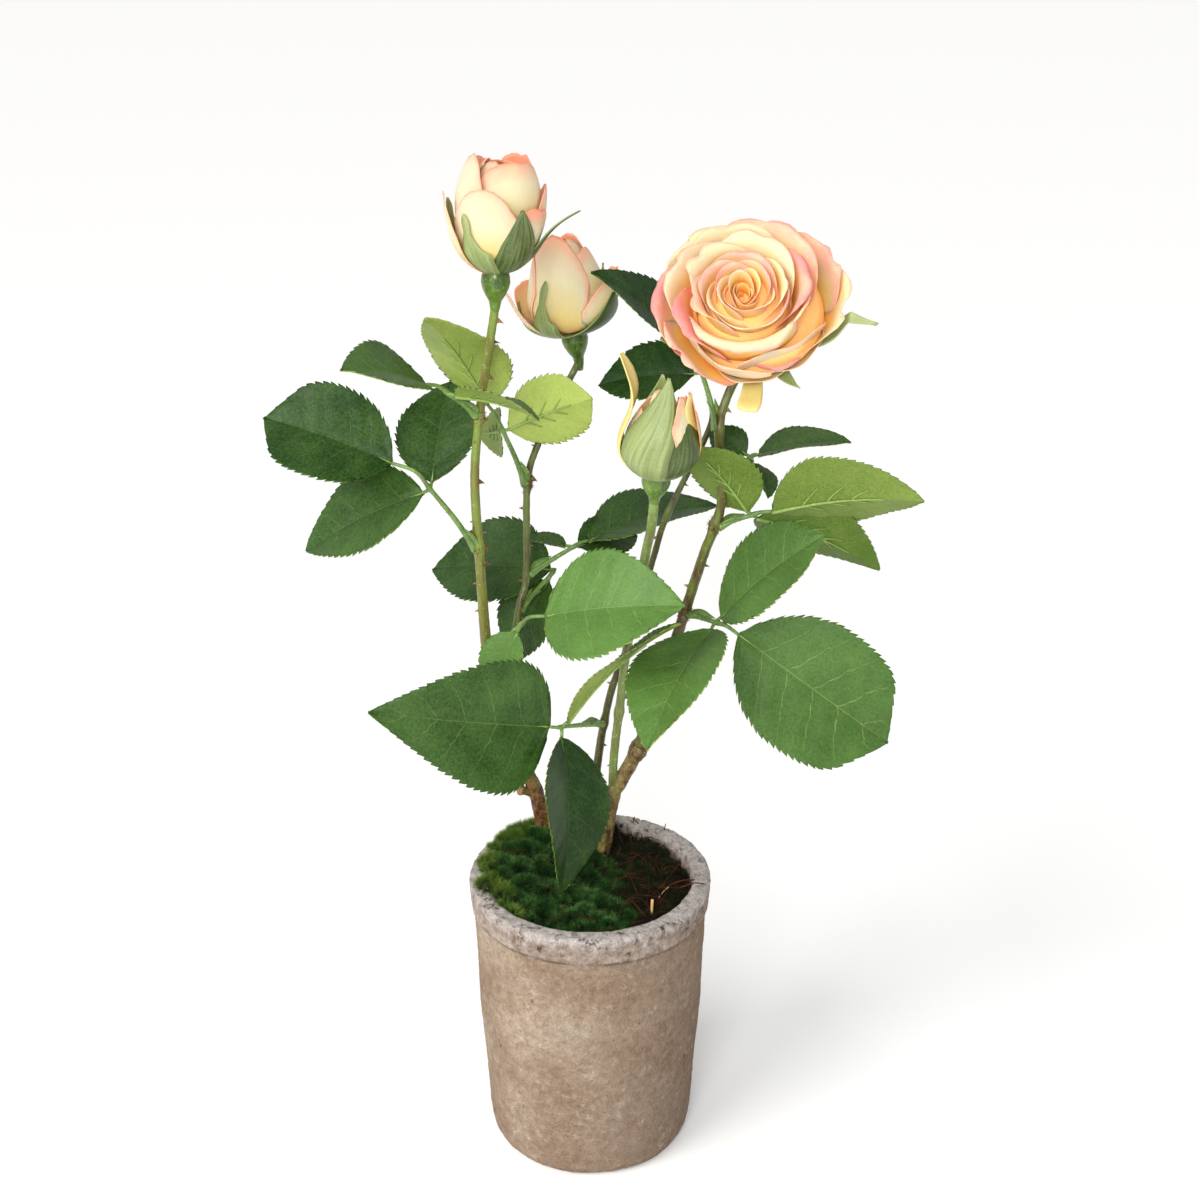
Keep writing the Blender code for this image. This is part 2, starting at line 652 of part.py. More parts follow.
def sepal_shape(share):
    """Half width of a sepal: broad near its foot, drawn out to a point."""
    return 0.08 + 0.92 * (1 - share) ** 0.9 * min(1.0, 0.25 + 2.2 * share)


def make_calyx(name, frame, hip_height, hip_radius, outline, petal_twist, sepals, material):
    """The hip, a small urn on the cane's end, with its sepals fused on."""
    profile = [(0, 0), (2.3, 0), (hip_radius * 0.72, hip_height * 0.35), (hip_radius, hip_height * 0.68),
               (hip_radius * 0.96, hip_height), (0, hip_height)]
    hip = new_object(name, lathe(profile, HIP_SIDES), material)
    clear = (PETAL_THICKNESS + SEPAL_THICKNESS) / 2 + GAP + FACET_ALLOWANCE + petal_twist + SEPAL_TWIST
    blades = []
    for heading, width, reach, flare in sepals:
        bm = wrapped_sheet(outline, heading, width, reach, clear, flare, sepal_shape, 2, 6,
                           twist=SEPAL_TWIST)
        bmesh.ops.translate(bm, vec=(0, 0, hip_height + GAP), verts=bm.verts)
        blade = new_object("sepal", bm, material)
        thicken(blade, SEPAL_THICKNESS)
        blades.append(blade)
    combine(hip, blades, "UNION")
    hip.data.transform(frame)


def make_foot_cutter():
    """A disc that levels the feet of the petals, so that they stand clear of the hip."""
    profile = [(0, -FOOT_CUT_DEPTH), (FOOT_CUT_RADIUS, -FOOT_CUT_DEPTH), (FOOT_CUT_RADIUS, 0), (0, 0)]
    cutter = new_object("foot_clearance", lathe(profile, HIP_SIDES), CUTTER_MATERIAL)
    cutter.hide_render = True
    cutter.display_type = "WIRE"
    return cutter


def make_bud(name, bud, calyx_material, petal_material):
    """One bud: its calyx, and its petals fused round a core."""
    frame = flower_frame(bud.stem)
    outline = Outline(bud.outline)
    make_calyx(name + "_calyx", frame, bud.hip_height, bud.hip_radius, outline, PETAL_TWIST, bud.sepals,
               calyx_material)
    foot = bud.hip_height + GAP
    core_profile = [(0, 0.0)]
    for share in np.linspace(0.0, 0.97, 8):
        radius, height = outline.at(share)
        core_profile.append((max(radius * bud.core, 1.0), height))
    core_profile.append((0, core_profile[-1][1] + 0.5))
    core = new_object(name + "_petals", lathe(core_profile, BUD_SIDES), petal_material)
    petals = []
    for count, first, width, reach, offset in bud.rings:
        for k in range(count):
            bm = wrapped_sheet(outline, first + 360 * k / count, width, reach, offset, 0.0, petal_shape, 3, 4,
                               twist=PETAL_TWIST)
            petal = new_object("petal", bm, petal_material)
            thicken(petal, PETAL_THICKNESS)
            petals.append(petal)
    combine(core, petals, "UNION")
    combine(core, [make_foot_cutter()], "DIFFERENCE")
    core.data.transform(frame @ Matrix.Translation((0, 0, foot * MM)))


def ring_outline(ring):
    """The side view of a rose petal: an arc that starts leaning out and ends more upright."""
    points = []
    radius, height = ROSE_FOOT_RADIUS, ring.foot
    steps = 8
    for k in range(steps + 1):
        points.append((radius, height))
        lean = math.radians(ring.lean_foot + (ring.lean_lip - ring.lean_foot) * (k + 0.5) / steps)
        radius += ring.length / steps * math.sin(lean)
        height += ring.length / steps * math.cos(lean)
    return Outline(points)


def make_rose(calyx_material, petal_material):
    """The open rose: rings of free petals round a domed core, on a calyx with long sepals."""
    frame = flower_frame(ROSE_STEM)
    guard = ring_outline(ROSE_RINGS[0])
    make_calyx("rose_calyx", frame, ROSE_HIP_HEIGHT, ROSE_HIP_RADIUS, guard, ROSE_TWIST, ROSE_SEPALS,
               calyx_material)
    foot = ROSE_HIP_HEIGHT + GAP
    profile = [(0, 0.0)] + ROSE_CORE + [(0, ROSE_CORE[-1][1])]
    core = new_object("rose_petals", lathe(profile, BUD_SIDES), petal_material)
    petals = []
    for ring in ROSE_RINGS:
        outline = ring_outline(ring)
        for k in range(ring.count):
            heading = ring.heading + 360 * k / ring.count
            bm = wrapped_sheet(outline, heading, ring.width, 1.0, 0.0, 0.0, petal_shape, 4, 3,
                               twist=ROSE_TWIST)
            petal = new_object("petal", bm, petal_material)
            thicken(petal, PETAL_THICKNESS)
            petals.append(petal)
    combine(core, petals, "UNION")
    combine(core, [make_foot_cutter()], "DIFFERENCE")
    core.data.transform(frame @ Matrix.Translation((0, 0, foot * MM)))


# --- the whole ---------------------------------------------------------------------------------------
for leftover in list(bpy.data.objects):
    bpy.data.objects.remove(leftover)
CUTTER_MATERIAL = make_material("clearance", CLAY)

make_pot()
stem_stretches = make_stems()
make_moss(stem_stretches)
leaf_green = make_material("leaf_green", LEAF)
for leaf_name, one_leaf in LEAVES.items():
    make_leaf(leaf_name, one_leaf, stem_stretches, leaf_green)
calyx_green = make_material("calyx_green", CALYX)
cream = make_material("cream_petal", CREAM)
for bud_name, one_bud in BUDS.items():
    make_bud(bud_name, one_bud, calyx_green, cream)
make_rose(calyx_green, make_material("peach_petal", PEACH))
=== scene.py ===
"""Artificial potted rose bush, dressed: crusted clay pot, bristly moss, moulded canes with thorns,
printed cloth leaves with moulded ribs, rosebuds and one open rose of cut cloth petals.

Shapes are worked out in millimetres and scaled once, when a mesh is made; materials read metres. Headings
turn from +X towards +Y and rises are above the horizon, both in degrees.
"""

import math
import random
from collections import namedtuple

import bpy
import numpy as np
from mathutils import Euler, Matrix, Vector, noise


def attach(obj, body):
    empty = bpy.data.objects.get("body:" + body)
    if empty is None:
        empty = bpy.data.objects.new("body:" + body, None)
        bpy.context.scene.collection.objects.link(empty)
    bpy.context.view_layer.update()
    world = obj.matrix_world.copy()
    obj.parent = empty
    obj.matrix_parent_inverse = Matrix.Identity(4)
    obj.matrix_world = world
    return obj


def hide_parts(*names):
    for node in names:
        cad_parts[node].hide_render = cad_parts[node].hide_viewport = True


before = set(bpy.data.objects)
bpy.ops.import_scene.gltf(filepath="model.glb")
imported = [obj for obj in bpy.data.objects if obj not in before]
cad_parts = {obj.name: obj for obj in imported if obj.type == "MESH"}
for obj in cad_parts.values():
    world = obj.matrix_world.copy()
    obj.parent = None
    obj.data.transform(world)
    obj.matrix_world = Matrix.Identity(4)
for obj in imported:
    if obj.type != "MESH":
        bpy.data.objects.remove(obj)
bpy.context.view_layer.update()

MM = 0.001

# --- sizes shared with the solids --------------------------------------------------------------------
POT_HEIGHT = 148.3
RIM_RADIUS = 60.0
RIM_WALL = 8.8
BAND_HEIGHT = 15.0
BAND_STEP = 1.4
BODY_TOP_RADIUS = 58.0
BODY_FOOT_RADIUS = 52.0
FOOT_HEIGHT = 12.0
UNDERSIDE_RADIUS = 46.5
BORE_FOOT_RADIUS = 45.0
FLOOR = 10.0

MOSS_LEVEL = 141.0
MOSS_MOUND = 16.0
MOSS_DIP = 3.0
MOSS_MOUND_HEADING = 155.0
MOSS_EDGE_DROP = 3.0

# The middle cane's tip is 0.4 mm wider than the solid's, which looks too thin under the green bud.
Stem = namedtuple("Stem", "route foot_radius tip_radius")
STEMS = {
    "left": Stem(
        [(-23, 38, 130), (-24, 38, 151), (-28, 36, 175), (-37, 33, 197), (-46, 28, 230), (-50, 24, 257),
         (-52, 17, 311), (-53, 12, 353), (-50, 10, 385), (-45, 10, 416), (-42, 10, 434), (-41.5, 10, 442)],
        4.2, 1.9),
    "left_back": Stem(
        [(-43, 30, 217), (-41, 31, 232), (-37, 34, 262), (-34, 38, 280), (-31, 42, 292), (-30, 46, 338),
         (-24, 49, 359), (-11, 54, 385), (-5.5, 56, 396), (-6, 56, 402)],
        2.0, 1.6),
    "right": Stem(
        [(5, 28, 128), (6, 28, 142), (11, 26, 177), (15, 25, 186), (25, 22, 209), (34, 18, 241),
         (45, 16, 282), (54, 16, 314), (59, 17, 328), (62, 18, 343), (60, 21, 374), (64, 25, 390),
         (71, 27, 404), (73.5, 25, 413), (73.5, 21, 418)],
        4.4, 2.0),
    "middle": Stem(
        [(11, 26, 174), (12, 23, 203), (15, 17, 236), (18, 11, 268), (26, -3, 322), (28, -13, 338),
         (29, -20, 353), (29.5, -22, 361)],
        2.1, 2.2),
    "right_back": Stem(
        [(-3, 33, 128), (4, 30, 196), (7, 28, 218), (11, 27, 238), (18, 26, 260), (30, 26, 306),
         (37, 27, 330), (55, 32, 368), (58, 35, 380)],
        2.6, 1.4),
}
LEFT_TRUNK_TOP = 230.0
RIGHT_TRUNK_TOP = 209.0
STUB_HEIGHT = 173.0
STUB_HEADING = 205.0
STUB_RISE = 25.0
STUB_LENGTH = 11.0
STUB_RADIUS = 2.9

BLADE_ARCH = 28.0
BLADE_FOLD = 12.0
PETIOLE_FOOT_RADIUS = 1.5
PETIOLE_TIP_RADIUS = 0.8

# Half widths of a leaflet along its length, as shares of the greatest.
OVATE = [(0, 0.03), (0.02, 0.30), (0.07, 0.62), (0.15, 0.88), (0.24, 0.99), (0.32, 1.0), (0.45, 0.93),
         (0.60, 0.74), (0.75, 0.48), (0.88, 0.24), (0.96, 0.09), (1, 0.0)]
OVAL = [(0, 0.03), (0.03, 0.26), (0.10, 0.56), (0.20, 0.83), (0.32, 0.98), (0.42, 1.0), (0.55, 0.94),
        (0.68, 0.77), (0.80, 0.54), (0.90, 0.30), (0.96, 0.13), (1, 0.0)]
ROUND = [(0, 0.03), (0.04, 0.28), (0.12, 0.58), (0.24, 0.84), (0.38, 0.98), (0.50, 1.0), (0.63, 0.97),
         (0.74, 0.88), (0.81, 0.75), (0.88, 0.49), (0.95, 0.21), (1, 0.0)]

# A leaf leaves its stem at a height and runs to the node, where its leaflets part; the end leaflet comes
# first. A leaflet's tint runs from deep green below 0 to pale green near 1. The tints are partly the cloth's
# own
# tones and partly painted light and shade: higher on leaflets that catch the key light and a grey sheen,
# lower on those that lie in shade, such as the leaflets behind the rose.
Leaflet = namedtuple("Leaflet", "stalk length width heading rise roll shape tint")
Leaf = namedtuple("Leaf", "stem height heading rise petiole leaflets")
LEAVES = {
    "leaf_left_low": Leaf("right_back", 218, -125, 20, 38, [
        Leaflet(8, 91, 67, 200, 15, -75, OVATE, 0.10), Leaflet(4, 80, 30, -14, 47, -10, OVAL, 0.45),
        Leaflet(5, 74, 56, -90, -60, -57, OVAL, -0.06)]),
    "leaf_left_high": Leaf("left", 317, -150, 55, 42, [
        Leaflet(24, 64, 51, 165, 15, -40, ROUND, -0.02), Leaflet(4, 55, 41, 80, 40, -5, OVAL, 0.0),
        Leaflet(4, 67, 50, 170, -30, -35, OVAL, 0.12)]),
    "leaf_left_top": Leaf("left", 385, -140, 40, 22, [
        Leaflet(14, 50, 40, -135, 20, -20, OVAL, 0.22), Leaflet(4, 44, 32, -30, -5, -25, OVAL, 0.30)]),
    "leaf_middle_top": Leaf("left_back", 338, -140, 65, 33, [
        Leaflet(18, 58, 46, -140, 55, 20, OVAL, 0.42), Leaflet(3, 45, 36, -15, 25, -85, ROUND, 0.66),
        Leaflet(4, 31, 25, 115, -20, 95, OVAL, 0.30)]),
    "leaf_middle_front": Leaf("left", 257, -45, 45, 34, [
        Leaflet(18, 73, 58, -25, 15, 45, OVAL, 0.52), Leaflet(4, 36, 27, -170, -68, -40, OVAL, 0.50)]),
    "leaf_back_left": Leaf("left_back", 275, 45, 30, 26, [
        Leaflet(6, 68, 54, 155, -10, -35, OVAL, 0.04), Leaflet(4, 47, 36, -165, -65, -35, OVAL, 0.06)]),
    "leaf_back_middle": Leaf("left_back", 292, 20, 25, 27, [
        Leaflet(8, 67, 52, 15, 10, 0, OVAL, 0.05), Leaflet(3, 36, 27, 35, -5, 30, OVAL, 0.0),
        Leaflet(4, 22, 16, 165, 3, 0, OVAL, 0.08)]),
    "leaf_right_low": Leaf("right", 284, -40, 0, 18, [
        Leaflet(14, 89, 68, -10, -35, 68, ROUND, 0.28), Leaflet(4, 67, 46, -15, 45, 35, ROUND, 0.34),
        Leaflet(4, 72, 56, -120, -30, 20, OVAL, 0.40)]),
    "leaf_right_high": Leaf("right", 328, -6, 20, 18, [
        Leaflet(10, 71, 56, -15, 10, -55, OVAL, 0.14), Leaflet(3, 46, 36, -160, 50, 45, OVAL, 0.06),
        Leaflet(3, 72, 44, 15, -28, -50, OVAL, -0.06)]),
    "leaf_back_right": Leaf("right", 351, 45, 15, 21, [
        Leaflet(4, 44, 34, -5, 10, 0, OVAL, 0.16), Leaflet(3, 24, 18, 135, 15, -40, OVAL, 0.06),
        Leaflet(3, 22, 20, -70, -30, -35, OVAL, 0.10)]),
    "leaf_behind_rose": Leaf("right", 374, 150, 70, 28, [
        Leaflet(15, 56, 44, 185, 40, -15, OVAL, -0.08), Leaflet(4, 47, 37, 163, -12, -35, OVAL, -0.08)]),
}

# A sepal is wrapped round its flower's axis: heading, width, the share of the outline it climbs, how far
# its tip flares, its half widths from foot to tip, its tint (lighter above 0, golden above GOLDEN) and how
# many degrees its tip curls round.
GOLDEN = 0.9
Sepal = namedtuple("Sepal", "heading width reach flare shape tint curl", defaults=(0,))
SEPAL_PLAIN = [(0, 0.45), (0.12, 0.80), (0.30, 1.0), (0.50, 0.86), (0.70, 0.55), (0.86, 0.27), (1, 0.05)]
SEPAL_BROAD = [(0, 0.50), (0.15, 0.86), (0.40, 1.0), (0.60, 0.84), (0.80, 0.48), (0.92, 0.22), (1, 0.04)]
SEPAL_LOBED = [(0, 0.45), (0.14, 0.84), (0.34, 1.0), (0.50, 1.04), (0.54, 0.66), (0.64, 0.42), (0.76, 0.22),
               (0.87, 0.27), (0.94, 0.24), (1, 0.06)]
SEPAL_STRAP = [(0, 0.50), (0.15, 0.80), (0.35, 0.85), (0.60, 0.72), (0.80, 0.80), (0.92, 0.62), (1, 0.20)]
SEPAL_BLUNT = [(0, 0.50), (0.30, 0.66), (0.60, 0.82), (0.80, 0.94), (0.94, 1.0), (1, 0.84)]

# A petal: heading, width, the share of its outline it climbs, how far it stands off, how far its lip
# droops at the sides and how roundly, how one edge stands out and the other in, its tint (deeper above 0),
# its blush, how far its lip leans out, and how far its sides stand out from its middle.
Petal = namedtuple("Petal", "heading width reach offset droop bow twist tint blush flare hollow",
                   defaults=(0, 0))

# A ring of petals shares an outline, which is a curve of (radius, height). It takes a share of the heart's
# shift, and its width from side to side is multiplied by its squeeze.
Ring = namedtuple("Ring", "shift outline petals squeeze", defaults=(1,))

# A flower: its stem, its hip, the outline its sepals follow and how far they stand off it, its sepals, its
# rings of petals from the outside in, and how far its heart is shifted.
Flower = namedtuple("Flower", "stem hip_height hip_radius cup clear sepals rings shift")
FLOWERS = {
    "bud_left": Flower("left", 11, 6.2, [
        (4.5, 0), (10.5, 3), (16, 9), (19.4, 18), (20.8, 28), (20.2, 37), (17.5, 45), (14, 51)], 2.0, [
        Sepal(-122, 19, 0.58, 0, SEPAL_LOBED, 0.50, -6), Sepal(-56, 20, 0.63, 0, SEPAL_BROAD, 0.0, -6),
        Sepal(-6, 14, 0.60, 14, SEPAL_PLAIN, -0.45), Sepal(85, 15, 0.60, 2, SEPAL_PLAIN, 0.0, 5),
        Sepal(160, 15, 0.60, 1, SEPAL_LOBED, 0.1)], [
        Ring(0, [(4.5, 0), (10.5, 3), (16, 9), (19.4, 18), (20.8, 28), (20.2, 37), (17.5, 45), (14, 51)], [
            Petal(-106, 38, 0.77, 0.6, 0.44, 2.2, 0.6, 0.00, 0.35),
            Petal(190, 27, 0.68, 2.2, 0.34, 2.6, 0.3, -0.05, 0.9, 1.5),
            Petal(-34, 32, 0.62, 0.2, 0.30, 2.4, 0.7, 0.10, 0.9),
            Petal(8, 32, 0.74, 0.4, 0.34, 2.2, 0.8, 0.12, 0.9),
            Petal(95, 38, 0.66, 0.0, 0.30, 2.4, 0.6, 0.0, 0.5)]),
        Ring(0, [(4.5, 0), (9.5, 3), (14.6, 9), (17.8, 18), (18.8, 29), (17.6, 38), (14.5, 46), (11, 52)], [
            Petal(-152, 44, 1.01, 0.2, 0.50, 1.3, 1.2, -0.10, 0.6),
            Petal(-48, 48, 0.95, -1.2, 0.30, 2.4, 2.2, 0.12, 0.9),
            Petal(40, 42, 0.95, -0.2, 0.30, 2.4, 1.6, 0.14, 1.2),
            Petal(135, 38, 0.93, -1.4, 0.36, 1.8, 0.8, 0.08, 0.9)]),
        Ring(0, [(4, 2), (9, 5), (13, 13), (14.5, 24), (13, 35), (9.5, 43), (4, 48)], [
            Petal(-100, 36, 1.0, 0.0, 0.30, 2.4, 1.2, 0.20, 0.9),
            Petal(20, 36, 0.98, 0.0, 0.30, 2.4, 1.2, 0.22, 0.9),
            Petal(140, 36, 1.0, 0.0, 0.30, 2.4, 1.2, 0.20, 0.9)]),
    ], (0, 0)),
    "bud_back": Flower("left_back", 11, 6.0, [
        (4.5, 0), (13, 0.5), (19.5, 4.5), (22, 11), (21.5, 19), (19.5, 28), (16, 36)], 1.6, [
        Sepal(-130, 16, 0.84, 1, SEPAL_LOBED, 0.30, 22), Sepal(-36, 28, 0.58, 2, SEPAL_BROAD, -0.40, 12),
        Sepal(45, 15, 0.70, 3, SEPAL_PLAIN, 0.0), Sepal(115, 15, 0.70, 1, SEPAL_PLAIN, 0.0),
        Sepal(190, 14, 0.60, 0, SEPAL_PLAIN, -0.45)], [
        Ring(0, [(4.5, 0), (12, 0.5), (19, 4), (23.4, 10), (25.6, 17), (27, 24)], [
            Petal(198, 26, 1.0, 0.6, 0.40, 2.2, 0.4, -0.05, 1.0, 1),
            Petal(-66, 34, 0.82, -2.2, 0.36, 2.4, 1.0, 0.12, 0.5, -5),
            Petal(-22, 36, 1.0, -0.4, 0.36, 2.2, 0.8, 0.22, 0.7, -2),
            Petal(24, 30, 0.96, 0.4, 0.36, 2.2, 0.6, 0.10, 0.9),
            Petal(90, 36, 1.0, -0.4, 0.36, 2.4, 0.5, 0.05, 0.6),
            Petal(145, 30, 0.92, -0.4, 0.36, 2.4, 0.5, 0.05, 0.6)]),
        Ring(0, [(4.5, 0), (11.5, 1), (17.5, 6), (19, 14), (17, 23), (14, 32), (11, 40), (8.5, 47)], [
            Petal(-108, 40, 1.01, 0.4, 0.46, 2.0, 0.8, -0.05, 0.6),
            Petal(-30, 38, 0.84, 0.4, 0.40, 2.0, 1.0, 0.10, 0.9),
            Petal(60, 38, 0.92, -0.4, 0.34, 2.4, 0.8, 0.10, 0.8),
            Petal(165, 36, 0.90, -0.4, 0.40, 2.0, 0.8, 0.05, 0.8)]),
        Ring(0, [(4, 2), (9, 4), (13, 10), (13.5, 19), (11, 30), (8, 38), (4, 43.5)], [
            Petal(-80, 34, 1.0, 0.0, 0.30, 2.4, 1.2, 0.20, 0.9),
            Petal(40, 34, 0.98, 0.0, 0.30, 2.4, 1.2, 0.22, 0.9),
            Petal(160, 34, 1.0, 0.0, 0.30, 2.4, 1.2, 0.20, 0.9)]),
    ], (0, 0)),
    "bud_green": Flower("middle", 9.5, 6.2, [
        (3.5, 0), (8, 1.6), (14, 6.5), (16.8, 13), (15.6, 21), (11.2, 30), (7.4, 38), (4.2, 45),
        (1.8, 50)], 1.6, [
        Sepal(-132, 30, 0.98, 0.4, SEPAL_PLAIN, 0.40, 60), Sepal(-56, 27, 0.82, 0.2, SEPAL_PLAIN, -0.10, 30),
        Sepal(4, 16, 0.80, 4, SEPAL_STRAP, 0.92, -14), Sepal(95, 22, 0.85, 3, SEPAL_PLAIN, 0.0),
        Sepal(178, 15, 0.96, 18, SEPAL_STRAP, 0.95, -10)], [
        Ring(0, [(3.5, 0), (8, 1.6), (14, 6.5), (16.8, 13), (15.6, 21), (11.6, 30), (8, 38), (4.5, 45),
                 (1.8, 50)], [
            Petal(-30, 22, 0.84, 0.6, 0.30, 1.8, 0.5, 0.10, 0.9, 2.0),
            Petal(8, 20, 0.80, 1.4, 0.34, 1.8, 0.5, 0.20, 0.9, 3.0),
            Petal(90, 26, 0.74, -0.4, 0.34, 1.8, 0.5, 0.25, 0.5),
            Petal(200, 26, 0.70, -0.8, 0.34, 1.8, 0.5, 0.25, 0.5)]),
    ], (0, 0)),
    "rose": Flower("right", 8, 6.0, [
        (3, 0), (14, 1), (27, 4.5), (35, 10.5), (38.8, 17), (41, 21), (42.8, 22), (44.2, 21.4)], 3.3, [
        Sepal(-89, 10.5, 0.86, 9, SEPAL_BLUNT, 0.95, -2), Sepal(-13, 15, 1.24, -4, SEPAL_PLAIN, 0.30, 2),
        Sepal(-62, 9, 0.84, 3, SEPAL_PLAIN, 0.0), Sepal(124, 11, 0.90, 2, SEPAL_PLAIN, 0.0),
        Sepal(200, 11, 1.0, 2, SEPAL_PLAIN, -0.2)], [
        Ring(0, [(3, 0), (14, 1), (27, 4.5), (35, 10.5), (38.8, 17), (41, 21), (42.8, 22), (44.2, 21.4)], [
            Petal(-2, 58, 0.97, -1.2, 0.20, 3.6, 4.5, 0.04, 0.22, 0, -2.5),
            Petal(38, 48, 0.99, 0.0, 0.22, 3.4, 1.8, -0.10, 1.05),
            Petal(80, 50, 1.00, 0.2, 0.22, 3.4, 1.8, -0.22, 0.75),
            Petal(126, 54, 1.00, 0.4, 0.22, 3.4, 1.8, -0.26, 0.10),
            Petal(174, 52, 1.01, 0.6, 0.24, 3.4, 1.8, -0.20, 1.15),
            Petal(216, 46, 1.00, 0.6, 0.26, 3.4, 1.4, -0.08, 1.10)]),
        Ring(0, [(3, 0), (14, 1), (25, 4), (31, 9), (34, 15), (35.2, 20), (36.2, 22.4), (38.0, 22.6)], [
            Petal(-118, 46, 0.99, 0.2, 0.22, 3.0, 0.8, -0.20, 0.10, -1.5, 1),
            Petal(-98, 44, 0.68, 1.6, 0.24, 3.0, 0.8, -0.30, 0.10),
            Petal(-76, 38, 0.83, 0.4, 0.26, 2.8, 0.8, -0.10, 1.00, -4, 1),
            Petal(-36, 44, 0.78, 0.8, 0.24, 3.0, 0.8, -0.26, 0.10, -1)]),
        Ring(0, [(3, 1), (13, 2.6), (22, 7), (26.6, 14), (27.6, 20), (28, 24), (28.8, 26.4), (30.4, 27.2)], [
            Petal(-62, 52, 0.90, 0.6, 0.12, 3.4, -0.5, -0.14, 0.10, -0.5, 6)]),
        Ring(0.33, [(3, 2), (12, 4), (22, 10), (28, 18.5), (31, 26.5), (33.2, 30.6), (35.6, 32.4),
                    (38, 32.2)], [
            Petal(56, 50, 0.99, 0.0, 0.24, 3.2, 3.0, -0.10, 0.95),
            Petal(106, 54, 0.98, 0.0, 0.24, 3.2, 3.0, -0.16, 0.10, -1),
            Petal(158, 52, 1.00, 0.0, 0.24, 3.2, 3.0, -0.06, 0.45),
            Petal(206, 44, 0.98, -1.0, 0.26, 2.8, 2.0, 0.06, 1.20, -1)]),
        Ring(0.66, [(3, 5), (11, 8), (18, 15), (21, 24), (22.4, 31), (23.8, 35.0), (26, 37), (28.6, 37)], [
            Petal(-24, 36, 0.94, 1.8, 0.30, 2.6, 1.8, 0.00, 0.30),
            Petal(16, 46, 1.01, 0.2, 0.22, 3.0, 3.4, -0.06, 1.10, 1),
            Petal(74, 50, 1.01, -0.8, 0.22, 3.0, 3.0, -0.10, 0.10),
            Petal(138, 46, 1.00, -0.2, 0.24, 2.6, 3.0, -0.02, 0.20, -2),
            Petal(196, 46, 0.97, -0.8, 0.28, 2.6, 2.2, 0.06, 0.60, -3)]),
        Ring(0.66, [(3, 4), (13, 6), (21, 11.5), (25, 19), (25.8, 26), (24.8, 31.6), (25.4, 34.6),
                    (28.2, 34.2), (29.6, 32.4)], [
            Petal(262, 58, 1.01, 0.0, 0.16, 3.8, -2.0, -0.06, 0.45, 0, 1.5)]),
        Ring(1, [(4, 10), (9, 14), (13, 21), (14.8, 29), (15.8, 34.5), (16.8, 38), (18.4, 39.6),
                 (20.4, 39.8)], [
            Petal(20, 38, 0.99, 0.9, 0.26, 2.4, 3.2, 0.00, 0.20, 1),
            Petal(84, 42, 1.02, 0.4, 0.24, 1.8, 3.0, -0.02, 1.00, 1),
            Petal(152, 40, 0.98, 0.5, 0.26, 2.6, 3.0, 0.05, 0.90, -1),
            Petal(214, 40, 0.95, 0.6, 0.26, 2.6, 2.4, 0.05, 0.20, -2),
            Petal(282, 46, 0.96, 1.0, 0.20, 3.0, 2.4, 0.00, 0.25, 1),
            Petal(338, 36, 0.94, 1.6, 0.30, 2.4, 2.4, 0.00, 1.00, 1)]),
        Ring(1, [(4, 16), (7.4, 21), (9.8, 28), (10.8, 33), (11.4, 37), (12.2, 39.8), (13.6, 41.2),
                 (15, 41.4)], [
            Petal(58, 32, 1.00, 0.6, 0.28, 1.7, 2.2, 0.03, 1.00, 1),
            Petal(124, 32, 0.98, 0.4, 0.28, 1.9, 2.2, 0.03, 0.70),
            Petal(190, 32, 0.95, 0.2, 0.28, 2.4, 2.2, 0.06, 0.20, -1),
            Petal(252, 32, 0.93, 0.0, 0.24, 2.6, 2.2, 0.06, 0.55, -1),
            Petal(318, 30, 0.94, 0.6, 0.28, 2.6, 2.2, 0.03, 0.30)], 0.92),
        Ring(1, [(3, 20), (5.2, 25), (7, 31), (7.8, 35), (8.2, 38.6), (8.7, 41), (9.6, 42.2), (10.6, 42.4)], [
            Petal(30, 29, 0.99, 0.0, 0.28, 1.9, 1.8, 0.05, 0.25, 1),
            Petal(140, 31, 0.98, 0.0, 0.28, 1.9, 1.8, 0.06, 0.25),
            Petal(258, 29, 0.93, 0.0, 0.26, 2.2, 1.8, 0.08, 0.35)], 0.70),
        Ring(1, [(1.2, 18), (2.6, 24), (3.4, 29), (3.8, 32.5), (4.2, 35.5), (5.0, 38)], [
            Petal(-10, 15, 0.96, 0.0, 0.24, 1.8, 1.4, 0.20, 0.20),
            Petal(110, 14, 0.98, 0.0, 0.24, 1.8, 1.2, 0.22, 0.20),
            Petal(230, 15, 0.92, 0.4, 0.24, 1.8, 1.4, 0.22, 0.20)], 0.85),
    ], (-5.0, -5.0)),
}

# The wadding that the rose's rings are wound round, which shows at the foot of their gaps: the share of
# the heart's shift that each pad takes, and its outline.
ROSE_PADS = [
    (1, [(0, 7), (15, 9), (20, 17), (20.5, 23.5), (19.0, 28.5), (14.5, 32.0), (9, 34.2), (6, 34.2), (3, 31),
         (0, 28)]),
    (0, [(0, 4), (24, 5), (30.5, 10), (31.4, 13), (29, 17), (24, 20), (0, 24)])]

# --- finer sizes of the dressing ---------------------------------------------------------------------
TOOTH_PITCH = 3.5              # one tooth of a leaflet's edge
TOOTH_DEPTH = 1.7
LEAF_CLOTH = 0.45              # thickness of the printed cloth
LEAF_WAVE = 0.011              # height of its edge's waves, as a share of the leaflet's length
LEAF_PUFF = 0.009              # how far it swells between the veins, as a share of the length
RIB_GROOVE = 0.35              # how deep it sinks along the midrib
VEIN_PAIRS = 6
VEIN_SWEEP = 0.20              # how far towards the tip a side vein ends, as a share of the length
PETAL_CLOTH = 0.28
SEPAL_CLOTH = 0.6

